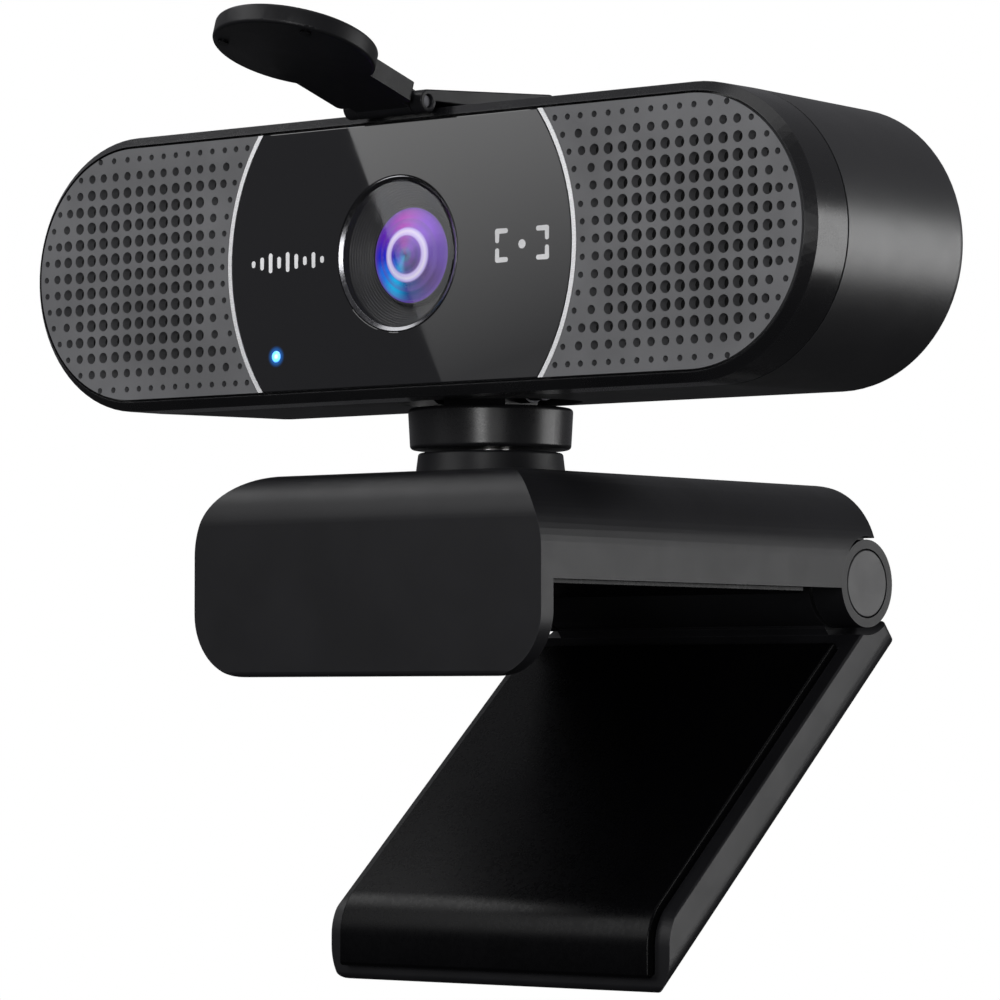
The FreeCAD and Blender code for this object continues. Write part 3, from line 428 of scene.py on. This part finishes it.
cloth = Finish("front_cloth")
across, upwards = (cloth.node("ShaderNodeTexWave", {"Vector": cloth.place, "Scale": 1 / (0.5 * MM)},
                              bands_direction=way).outputs["Fac"] for way in ("X", "Z"))
weave = cloth.maths("MULTIPLY", across, upwards)
cloth.feed("Base Color", cloth.ramp(weave, (0.0, (0.0008, 0.0008, 0.0008)),
                                    (0.8, (0.004, 0.004, 0.004))))
cloth.feed("Roughness", cloth.span(cloth.noise(0.3), 0.85, 0.98))
cloth.feed("Normal", cloth.relief(weave, 0.08))
finishes["cloth_mesh"] = cloth

cut_filter = Finish("heat_filter", Metallic=0.2, Coat_Weight=1.0, Coat_Roughness=0.03)
cut_filter.feed("Base Color", cut_filter.ramp(cut_filter.noise(6.0), (0.3, (0.02, 0.10, 0.09)),
                                              (0.7, (0.10, 0.02, 0.06))))
cut_filter.feed("Roughness", cut_filter.span(cut_filter.noise(2.0), 0.05, 0.09))
finishes["filter_glass"] = cut_filter

sensor = Finish("sensor_cover", Coat_Weight=1.0, Coat_Roughness=0.04)
grid = sensor.node("ShaderNodeTexChecker", {"Vector": sensor.place, "Scale": 1 / (0.15 * MM)})
sensor.feed("Base Color", sensor.mix(grid.outputs["Fac"], (0.02, 0.03, 0.05), (0.05, 0.02, 0.06)))
sensor.feed("Roughness", sensor.span(sensor.noise(0.8), 0.10, 0.18))
finishes["sensor_glass"] = sensor
print("finishes so far:", len(finishes))

# %% [markdown]
# ## The glossy front and its light
# The middle of the face is one sheet of glass with black ink behind it. Seen from
# outside that is a perfectly smooth black surface, so the finish is black with a clear
# skin, and only a trace of waviness and dust, as real glass has. A faint blue halo lies
# round the status light, where its glow leaks into the ink.
# The clear window over the lens is a film of reflection: at each angle glass mirrors a
# small share of the light (the Fresnel share), and lets the rest through.

# %% Glass finishes
black_glass = Finish("ink_backed_glass", IOR=1.52)
dust = black_glass.noise(0.05, detail=1.0)
black_glass.feed("Base Color", black_glass.ramp(dust, (0.70, (0.013, 0.013, 0.0145)),
                                                (0.80, (0.03, 0.03, 0.032))))
black_glass.feed("Roughness", black_glass.span(black_glass.noise(6.0, detail=3.0), 0.008, 0.022))
black_glass.feed("Normal", black_glass.relief(black_glass.noise(14.0), 0.0008))
light_place = middle("light_pipe")
halo_radius, light_radius = 1.15, 0.55
halo = black_glass.reach(light_place, halo_radius)[0]
black_glass.feed("Emission Color", black_glass.ramp(
    halo, (0.0, (0.03, 0.45, 1.0)), (0.5, (0.005, 0.12, 0.45)), (1.0, (0.0, 0.0, 0.0)),
    smooth="EASE"))
black_glass.shader.inputs["Emission Strength"].default_value = 0.8
finishes["panel_glass"] = black_glass

window = Finish("clear_window", Metallic=1.0)
share = window.node("ShaderNodeFresnel", {"IOR": 1.52}).outputs["Fac"]
smears = window.noise(2.5, detail=4.0)
inside = window.node("ShaderNodeNewGeometry").outputs["Backfacing"]
outside = window.maths("SUBTRACT", 1.0, inside)
veil = window.maths("ADD", share, window.span(smears, 0.0, 0.004))
window.feed("Alpha", window.maths("MULTIPLY", veil, outside))
window.feed("Base Color", window.ramp(smears, (0.3, (0.93, 0.95, 1.0)), (0.7, (1.0, 1.0, 1.0))))
window.feed("Roughness", window.span(smears, 0.008, 0.03))
finishes["panel_ink"] = moulded("screen_ink", (0.004, 0.004, 0.005), (0.30, 0.40), depth=0.002)
print("glass finishes ready")

# %% [markdown]
# The coated lens is what catches the eye. Its coating and inner elements show as coloured
# reflections: magenta towards the top, blue at the left, cyan at the lower left, with
# rings nearer to the middle where the inner elements are mirrored, one of them a pale
# lilac highlight. These reflections are painted into the lens's colour, by distance from
# the lens axis and by direction round it. `direction` starts at the left and runs over the
# top. The same painted colours also glow faintly as emission, so they stay clear behind
# the window, where hardly any light arrives.

# %% The lens, with painted reflections
# The lens's colours are painted reflections of its coating and inner elements, and they also glow
# faintly (emission 0.26) though the lens is no lamp.
painted_lens = Finish("lens_painted_reflections", Specular_IOR_Level=0.20, Emission_Strength=0.26)
coating_reach = 4.75
away, flat = painted_lens.reach(lens_axis, coating_reach)
round_place = painted_lens.node("ShaderNodeMapping", {"Vector": flat,
                                                 "Rotation": (math.radians(90), 0, 0)})
direction = painted_lens.node("ShaderNodeTexGradient", {"Vector": round_place.outputs[0]},
                         gradient_type="RADIAL").outputs["Fac"]
painted_coating_reflections = painted_lens.ramp(
    direction, (0.0, (0.006, 0.012, 0.62)), (0.10, (0.13, 0.008, 0.50)),
    (0.22, (0.42, 0.012, 0.50)), (0.36, (0.24, 0.06, 0.66)), (0.50, (0.09, 0.015, 0.36)),
    (0.62, (0.05, 0.004, 0.16)), (0.74, (0.005, 0.04, 0.24)), (0.84, (0.01, 0.52, 0.98)),
    (0.92, (0.006, 0.20, 0.92)), (1.0, (0.006, 0.012, 0.62)), smooth="EASE")
# Painted rings by distance from the axis: the pale lilac band is a painted highlight, the others
# painted reflections.
painted_ring_reflections = painted_lens.ramp(
    away, (0.0, (0.01, 0.02, 0.06)), (0.10, (0.03, 0.16, 0.26)), (0.20, (0.14, 0.04, 0.32)),
    (0.30, (0.03, 0.02, 0.14)), (0.38, (0.14, 0.05, 0.36)), (0.43, (0.66, 0.56, 0.92)),
    (0.50, (0.82, 0.76, 1.0)), (0.55, (0.60, 0.50, 0.90)), (0.60, (0.14, 0.06, 0.40)),
    smooth="EASE")
# Blends the painted rings and the painted coloured reflections by distance from the axis, darkest
# at the rim.
outwards = painted_lens.ramp(away, (0.0, (0.35, 0.35, 0.35)), (0.36, (0.62, 0.62, 0.62)),
                        (0.43, (0.08, 0.08, 0.08)), (0.54, (0.08, 0.08, 0.08)), (0.61, (1, 1, 1)),
                        (0.74, (0.55, 0.55, 0.55)), (0.79, (1, 1, 1)), (0.90, (0.70, 0.70, 0.70)),
                        (1.0, (0.04, 0.04, 0.04)), smooth="EASE")
# The painted reflection colours feed both the base colour and the faint glow.
painted_reflection_colour = painted_lens.mix(outwards, painted_ring_reflections, painted_coating_reflections)
painted_lens.feed("Base Color", painted_reflection_colour)
painted_lens.feed("Emission Color", painted_reflection_colour)
painted_lens.feed("Roughness", painted_lens.span(painted_lens.noise(1.5), 0.22, 0.28))
painted_lens.feed("Normal", painted_lens.relief(painted_lens.noise(3.0), 0.001))
finishes["lens_glass"] = painted_lens

glow = Finish("status_glow", Emission_Strength=3.0)
spread = glow.reach(light_place, light_radius)[0]
glow.feed("Emission Color", glow.ramp(spread, (0.0, (0.45, 0.95, 1.0)),
                                      (0.55, (0.03, 0.45, 1.0)), (1.0, (0.0, 0.10, 0.45))))
glow.feed("Base Color", glow.ramp(glow.noise(0.4), (0.3, (0.3, 0.6, 0.8)), (0.7, (0.5, 0.8, 0.95))))
glow.feed("Roughness", glow.span(glow.noise(0.4), 0.15, 0.3))
finishes["light_plastic"] = glow
print("finishes:", len(finishes))

# %% [markdown]
# ## Give every mechanical part its finish
# The mechanical parts arrive with a slot name each, such as `steel`. Every part that
# stays as it is gets the finish of that name. The hinge hardware is blackened, and the
# rear body is a little glossier than the clip, though both share a slot.

# %% Dress the mechanical parts
slot_of = {name: node.data.materials[0].name.split(".")[0] for name, node in nodes.items()}
for name, node in nodes.items():
    node.data.materials[0] = finishes[slot_of[name]].material
for name in ("cover_pin", "tilt_bracket", "bracket_screws", "tilt_pin", "tilt_washers",
             "tilt_spring", "tilt_nut"):
    nodes[name].data.materials[0] = blackened.material
nodes["rear_housing"].data.materials[0] = body_finish.material
print("dressed", len(slot_of), "parts in", len(set(slot_of.values())), "finishes")

# %% [markdown]
# ## Turning bmesh work into parts
# Three small helpers are used for everything that follows. `finish_part` cleans a mesh,
# turns its faces outwards and hands it to the model. `turned` is a lathe: it spins an
# outline about the lens axis. `softened` copies a mechanical part, merges it, and rounds
# its sharp edges as a mould does, because no real edge is perfectly sharp and a rounded
# edge is what catches the light.

# %% Part helpers


def finish_part(bm, name, finish, body, stands_for=(), smooth=35.0, shut=True):
    bmesh.ops.remove_doubles(bm, verts=bm.verts, dist=0.0005 * MM)
    if shut:
        bmesh.ops.recalc_face_normals(bm, faces=bm.faces)
    mesh = bpy.data.meshes.new(name)
    bm.to_mesh(mesh)
    bm.free()
    mesh.shade_smooth()
    mesh.set_sharp_from_angle(angle=math.radians(smooth))
    mesh.materials.append(finish.material)
    part = bpy.data.objects.new(name, mesh)
    bpy.context.scene.collection.objects.link(part)
    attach(part, body)
    if stands_for:
        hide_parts(*stands_for)
    print(name, "faces", len(mesh.polygons))
    return part


def turned(outline, steps=96, around=lens_axis):
    """A lathe: outline is (radius, depth) in mm, closed, depth measured from the face."""
    bm = bmesh.new()
    points = [bm.verts.new((around.x + r * MM, face_y + d * MM, around.z)) for r, d in outline]
    loop = [bm.edges.new((a, b)) for a, b in zip(points, points[1:] + points[:1])]
    bmesh.ops.spin(bm, geom=points + loop, cent=around, axis=(0, 1, 0), angle=math.tau,
                   steps=steps, use_merge=True)
    bmesh.ops.remove_doubles(bm, verts=bm.verts, dist=0.0005 * MM)
    return bm


def softened(node, rounding, body, smooth=28.0, flat_enough=0.6):
    """A merged copy of a mechanical part with its sharp edges rounded (mm)."""
    source = nodes[node]
    bm = bmesh.new()
    bm.from_mesh(source.data)
    bmesh.ops.remove_doubles(bm, verts=bm.verts, dist=0.001 * MM)
    bmesh.ops.dissolve_limit(bm, angle_limit=math.radians(flat_enough), verts=bm.verts,
                             edges=bm.edges)
    part = finish_part(bm, node + "_skin", finishes[slot_of[node]], body, (node,),
                       smooth=smooth, shut=False)
    if "custom_normal" in part.data.attributes:
        part.data.attributes.remove(part.data.attributes["custom_normal"])
    bevel = part.modifiers.new("mould_edges", "BEVEL")
    bevel.width = rounding * MM
    bevel.segments = 3
    bevel.limit_method = "ANGLE"
    bevel.angle_limit = math.radians(smooth + 2)
    bevel.harden_normals = True
    bevel.use_clamp_overlap = True
    return part


print("part helpers ready")

# %% [markdown]
# ## The shells
# The clip arm is one moulding that rolls over at the front into the lip behind which
# the screen sits. Its corners are rounded by about a third of a millimetre. The leg,
# the head's frame, the cover and the pads get smaller roundings.

# %% Soften the shells
softened("arm_shell", 0.35, "clip")
softened("leg_shell", 0.25, "leg")
softened("front_bezel", 0.12, "head")
softened("cover_disc", 0.15, "cover")
softened("cover_base", 0.15, "head")
softened("leg_pad", 0.25, "leg")
softened("lip_pad", 0.15, "clip")
softened("rest_pad", 0.20, "clip")

# %% [markdown]
# ## The glass front
# The glass is a disc with its top and bottom cut off level, and a round opening for the
# lens window. It starts as two circles bridged into a ring, is trimmed by two planes,
# thickened by extruding, and its rim is ground to a small bevel.

# %% Front glass
glass_radius = (glass_high.x - glass_low.x) / 2
seat_radius, window_radius, lens_radius = 7.73, 7.22, 4.72
rim_rounding, steep = 0.10 * MM, 1.0
glass_half = (glass_high.z - glass_low.z) / 2
upright = Matrix.Translation((0, face_y, lens_axis.z)) @ Matrix.Rotation(math.radians(90), 4, "X")
bm = bmesh.new()
for radius in (glass_radius, seat_radius * MM):
    bmesh.ops.create_circle(bm, segments=160, radius=radius, matrix=upright)
bmesh.ops.bridge_loops(bm, edges=bm.edges)
for side in (1, -1):
    geometry = bm.verts[:] + bm.edges[:] + bm.faces[:]
    bmesh.ops.bisect_plane(bm, geom=geometry, plane_co=(0, 0, lens_axis.z + side * glass_half),
                           plane_no=(0, 0, side), clear_outer=True, dist=1e-7)
sheet = bmesh.ops.extrude_face_region(bm, geom=bm.faces[:])
thickness = glass_high.y - glass_low.y
moved = [v for v in sheet["geom"] if isinstance(v, bmesh.types.BMVert)]
bmesh.ops.translate(bm, verts=moved, vec=(0, thickness, 0))
front_rim = [e for e in bm.edges if len(e.link_faces) == 2
             and all(abs(v.co.y - face_y) < 1e-7 for v in e.verts)
             and e.calc_face_angle(0) > steep]
bmesh.ops.bevel(bm, geom=front_rim, offset=rim_rounding, offset_type="OFFSET", segments=2,
                profile=0.5, affect="EDGES", material=-1)
finish_part(bm, "front_glass", black_glass, "head", ("panel_mask",), smooth=20.0)

# %% Lens window
window_front, window_back, window_chamfer = 0.06, 0.60, 0.08
window_disc = turned([(0, window_front), (window_radius - window_chamfer, window_front),
                      (window_radius, window_front + window_chamfer),
                      (window_radius, window_back), (0, window_back)], steps=round_steps)
finish_part(window_disc, "lens_window", window, "head", ("panel_glass",))

# %% [markdown]
# ## The lens well
# Behind the window a shallow cone leads down to the lens. Its wall is cut into fine
# steps, which stop stray light from bouncing into the picture. A thin dark-chrome ring
# holds the window. Its inner side slopes towards the axis, and one part of that slope
# always mirrors a light.

# %% Lens well
well_rim, well_outer, well_end = 7.72, 8.5, 5.16
well_start, well_deep, ledge = 1.20, 1.45, 0.10
narrowing, steps_down = 2.50, 11
well_outline = [(well_outer, well_start - 0.05), (well_rim, well_start - 0.05)]
for k in range(steps_down):
    start, end = k / steps_down, (k + 1) / steps_down
    radius = well_rim - narrowing * start
    depth = well_start + well_deep * start
    well_outline += [(radius - ledge, depth), (well_rim - narrowing * end, depth + ledge)]
well_outline += [(well_end, 2.66), (well_end, 3.08), (well_outer, 3.08)]
well = turned(well_outline, steps=round_steps)
finish_part(well, "lens_well", finishes["inner_plastic"], "head", ("lens_surround",),
            smooth=20.0)

ring_finish = metal("dark_chrome_ring", (0.20, 0.20, 0.21), (0.18, 0.26), size=0.3, depth=0.001)
ring_inner, ring_crest, ring_outer, ring_back = 7.26, 7.62, 7.70, 1.10
window_ring = turned([(ring_inner, 0.24), (ring_crest, 0.01), (ring_outer, 0.05),
                      (ring_outer, ring_back), (ring_inner, ring_back)], steps=round_steps)
finish_part(window_ring, "window_ring", ring_finish, "head", smooth=20.0)

# %% [markdown]
# ## The lens
# The front element bulges towards the viewer inside a black barrel. The barrel's front
# is a bevelled ring. Both ride on the lens body, which slides when the camera focuses.

# %% Lens and barrel
dome_radius, dome_apex, dome_steps = 12.0, 1.25, 12
seat, lens_back = 4.5, 4.5
dome = []
for k in range(dome_steps + 1):
    r = lens_radius * k / dome_steps
    dome.append((r, dome_apex + dome_radius - math.sqrt(dome_radius ** 2 - r ** 2)))
lens = turned(dome + [(lens_radius, 2.6), (seat, 2.7), (seat, lens_back), (0, lens_back)])
finish_part(lens, "coated_front_lens", painted_lens, "lens", ("front_lens",), smooth=50.0)
lip_inner, lip_outer, barrel_outer, barrel_back = 4.74, 4.89, 5.58, 8.0
barrel_outline = [(lip_inner, 3.0), (lip_inner, 2.16), (lip_inner + 0.03, 2.10),
                  (lip_outer - 0.03, 2.10), (lip_outer, 2.16), (lip_outer, 3.60), (5.5, 3.62),
                  (barrel_outer, 3.70), (barrel_outer, barrel_back), (4.24, barrel_back),
                  (4.24, 7.0), (2.62, 4.55), (4.52, 4.55)]
finish_part(turned(barrel_outline), "lens_barrel_turned", finishes["inner_plastic"], "lens",
            ("lens_barrel",))

# %% [markdown]
# ## Status light
# A light pipe carries the light from the board to a small hole in the ink. Its end is a
# low dome, flush with the glass, brightest in the middle.

# %% Status light
head_of_pipe, stem_of_pipe, pipe_back = 0.64, 0.50, 9.55
pipe_outline = [(0, -0.03), (0.35, -0.02), (0.58, 0.0), (head_of_pipe, 0.05), (head_of_pipe, 0.9),
                (stem_of_pipe, 1.2), (stem_of_pipe, pipe_back), (0, pipe_back)]
light = turned(pipe_outline, steps=32, around=Vector((light_place.x, 0, light_place.z)))
finish_part(light, "status_light", glow, "head", ("light_pipe",))

# %% [markdown]
# ## Printed marks
# The front carries two small printed marks. These are plain signs: level bars for the
# microphones at the left, and the four corners of a focus frame at the right. Each
# stroke is a rounded bar, a hair's breadth proud of the glass, like screen-printed ink.
# Where two strokes cross, one stands a little higher, so that no two faces coincide.

# %% Marks
print_ink = moulded("pale_print", (0.92, 0.92, 0.93), (0.45, 0.55), grain=0.08, depth=0.002)


def stroke(bm, x, z, wide, high, proud=0.012):
    """A rounded bar on the glass, centred at x, z (mm from the lens axis)."""
    radius = min(wide, high) / 2
    place = upright @ Matrix.Translation((x * MM, z * MM, 0))
    ring = bmesh.ops.create_circle(bm, cap_ends=True, segments=16, radius=radius * MM, matrix=place)
    for v in ring["verts"]:
        v.co.x += math.copysign((wide / 2 - radius) * MM, v.co.x - x * MM)
        v.co.z += math.copysign((high / 2 - radius) * MM, v.co.z - lens_axis.z - z * MM)
    flat = {face for v in ring["verts"] for face in v.link_faces}
    top = bmesh.ops.extrude_face_region(bm, geom=list(flat))
    raised = [v for v in top["geom"] if isinstance(v, bmesh.types.BMVert)]
    bmesh.ops.translate(bm, verts=raised, vec=(0, -proud * MM, 0))


bar_heights = (0.7, 1.3, 2.0, 1.2, 2.0, 1.5, 0.9, 1.6, 0.7)
first_bar, bar_pitch, bar_width = -19.0, 1.15, 0.50
bm = bmesh.new()
for k, high in enumerate(bar_heights):
    stroke(bm, first_bar + bar_pitch * k, 0.0, bar_width, high)
finish_part(bm, "level_bars_mark", print_ink, "head")
frame_x, line, dot = 15.85, 0.52, 0.9
bm = bmesh.new()
for sx in (-1, 1):
    for sz in (-1, 1):
        stroke(bm, frame_x + sx * 2.55, sz * 1.40, 1.6, line)
        stroke(bm, frame_x + sx * 3.09, sz * 0.95, line, 1.42, proud=0.016)
stroke(bm, frame_x, 0.0, dot, dot)
finish_part(bm, "focus_frame_mark", print_ink, "head")

# %% [markdown]
# ## Screws, thread and gland
# The parts that show from behind and below: cross-head screws at the bottom of the four
# wells in the head's back, a brass insert with a tripod thread in the leg, and a rubber
# gland where the cable goes in.

# %% Housing screws


def cross_screw(bm, x, z, low, top, radius, shank):
    """A pan-head screw along Y with a cross recess in its head."""
    place = Matrix.Translation((x, top, z)) @ Matrix.Rotation(math.radians(-90), 4, "X")
    rim = bmesh.ops.create_circle(bm, segments=24, radius=radius, matrix=place)["verts"]
    arm, half = radius * 0.62, radius * 0.13
    outline = [(arm, half), (half, half), (half, arm), (-half, arm), (-half, half),
               (-arm, half), (-arm, -half), (-half, -half), (-half, -arm), (half, -arm),
               (half, -half), (arm, -half)]
    cross = [bm.verts.new(place @ Vector((a, b, 0))) for a, b in outline]
    cross_edges = [bm.edges.new((a, b)) for a, b in zip(cross, cross[1:] + cross[:1])]
    rim_edges = list({e for v in rim for e in v.link_edges})
    bmesh.ops.bridge_loops(bm, edges=rim_edges + cross_edges)
    sunk = bmesh.ops.extrude_edge_only(bm, edges=cross_edges)["geom"]
    floor = [v for v in sunk if isinstance(v, bmesh.types.BMVert)]
    bmesh.ops.translate(bm, verts=floor, vec=(0, -recess_depth, 0))
    bmesh.ops.contextual_create(bm, geom=[e for e in sunk if isinstance(e, bmesh.types.BMEdge)])
    section = rim_edges
    for width, depth in ((radius, -0.85 * (top - low)), (shank, 0.0), (shank, low - top)):
        grown = bmesh.ops.extrude_edge_only(bm, edges=section)["geom"]
        section = [e for e in grown if isinstance(e, bmesh.types.BMEdge)]
        for v in [g for g in grown if isinstance(g, bmesh.types.BMVert)]:
            away = Vector((v.co.x - x, 0, v.co.z - z)).normalized() * width
            v.co.x, v.co.z = x + away.x, z + away.z
            v.co.y += depth
    bmesh.ops.contextual_create(bm, geom=section)


screw_low, screw_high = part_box("housing_screws")
bm = bmesh.new()
head_radius, shank_radius = 1.8 * MM, 0.97 * MM
head_thick, recess_depth = 1.2 * MM, 0.5 * MM
for x in (screw_low.x + head_radius, screw_high.x - head_radius):
    for z in (screw_low.z + head_radius, screw_high.z - head_radius):
        cross_screw(bm, x, z, screw_high.y - head_thick, screw_high.y, head_radius, shank_radius)
finish_part(bm, "housing_cross_screws", finishes["steel"], "head", ("housing_screws",))

# %% Tripod insert
pitch, crest, root = 1.27, 2.62, 3.10
sleeve, flange, flange_thick = 3.96, 4.76, 0.80
low_z, top_z, along_leg = -9.15, -4.62, -28.0
thread = []
z = top_z - 0.35
while z > low_z + 0.75:
    thread += [(crest, z), (root, z - pitch / 2)]
    z -= pitch
outline = [(sleeve, top_z), (root, top_z), *thread, (crest, z), (3.15, low_z),
           (flange - 0.10, low_z), (flange, low_z + 0.10), (flange, low_z + flange_thick - 0.02),
           (sleeve, low_z + flange_thick)]
bm = bmesh.new()
points = [bm.verts.new((r * MM, 0, z * MM)) for r, z in outline]
loop = [bm.edges.new((a, b)) for a, b in zip(points, points[1:] + points[:1])]
bmesh.ops.spin(bm, geom=points + loop, cent=(0, 0, 0), axis=(0, 0, 1), angle=math.tau, steps=72,
               use_merge=True)
bmesh.ops.translate(bm, verts=bm.verts, vec=(0, along_leg * MM, 0))
bmesh.ops.transform(bm, verts=bm.verts, matrix=to_leg)
finish_part(bm, "threaded_tripod_insert", finishes["brass"], "leg", ("tripod_insert",))

# %% Cable gland
back = (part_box("cable_gland")[1].y - face_y) / MM
bore, flange, groove, boot = 1.92, 3.98, 3.17, 3.72
gland_outline = [(bore, 3.6), (flange, 3.6), (flange, 2.5), (groove, 2.5), (groove, 0.9),
                 (flange, 0.9), (flange, 0.55), (boot, 0.45), (boot, 0.30), (3.55, 0.10), (3.1, 0),
                 (2.6, 0), (2.45, 0.25), (2.2, 0.25), (2.05, 0.02), (bore, 0.10)]
gland = turned([(radius, back - ahead) for radius, ahead in gland_outline], steps=72)
finish_part(gland, "ringed_cable_gland", finishes["black_rubber"], "head", ("cable_gland",))

# %% [markdown]
# ## Floor
# A pale round of backdrop paper lies under the camera. It isn't part of the object. It
# is hidden from the surfaces, so that it doesn't throw light onto the undersides.

# %% Floor
paper = Finish("backdrop_paper")
fibres = paper.noise(1.2, detail=6.0)
paper.feed("Base Color", paper.ramp(fibres, (0.3, (0.78, 0.78, 0.77)), (0.7, (0.84, 0.84, 0.83))))
paper.feed("Roughness", paper.span(fibres, 0.8, 0.95))
paper.feed("Normal", paper.relief(fibres, 0.02))
paper_place, paper_radius = Vector((0, 0.01, -0.060)), 0.27
bm = bmesh.new()
bmesh.ops.create_circle(bm, cap_ends=True, segments=96, radius=paper_radius,
                        matrix=Matrix.Translation(paper_place))
paper_mesh = bpy.data.meshes.new("floor")
bm.to_mesh(paper_mesh)
bm.free()
paper_mesh.materials.append(paper.material)
floor_object = bpy.data.objects.new("floor", paper_mesh)
bpy.context.scene.collection.objects.link(floor_object)
floor_object.visible_diffuse = False
floor_object.visible_glossy = False
print("floor laid")
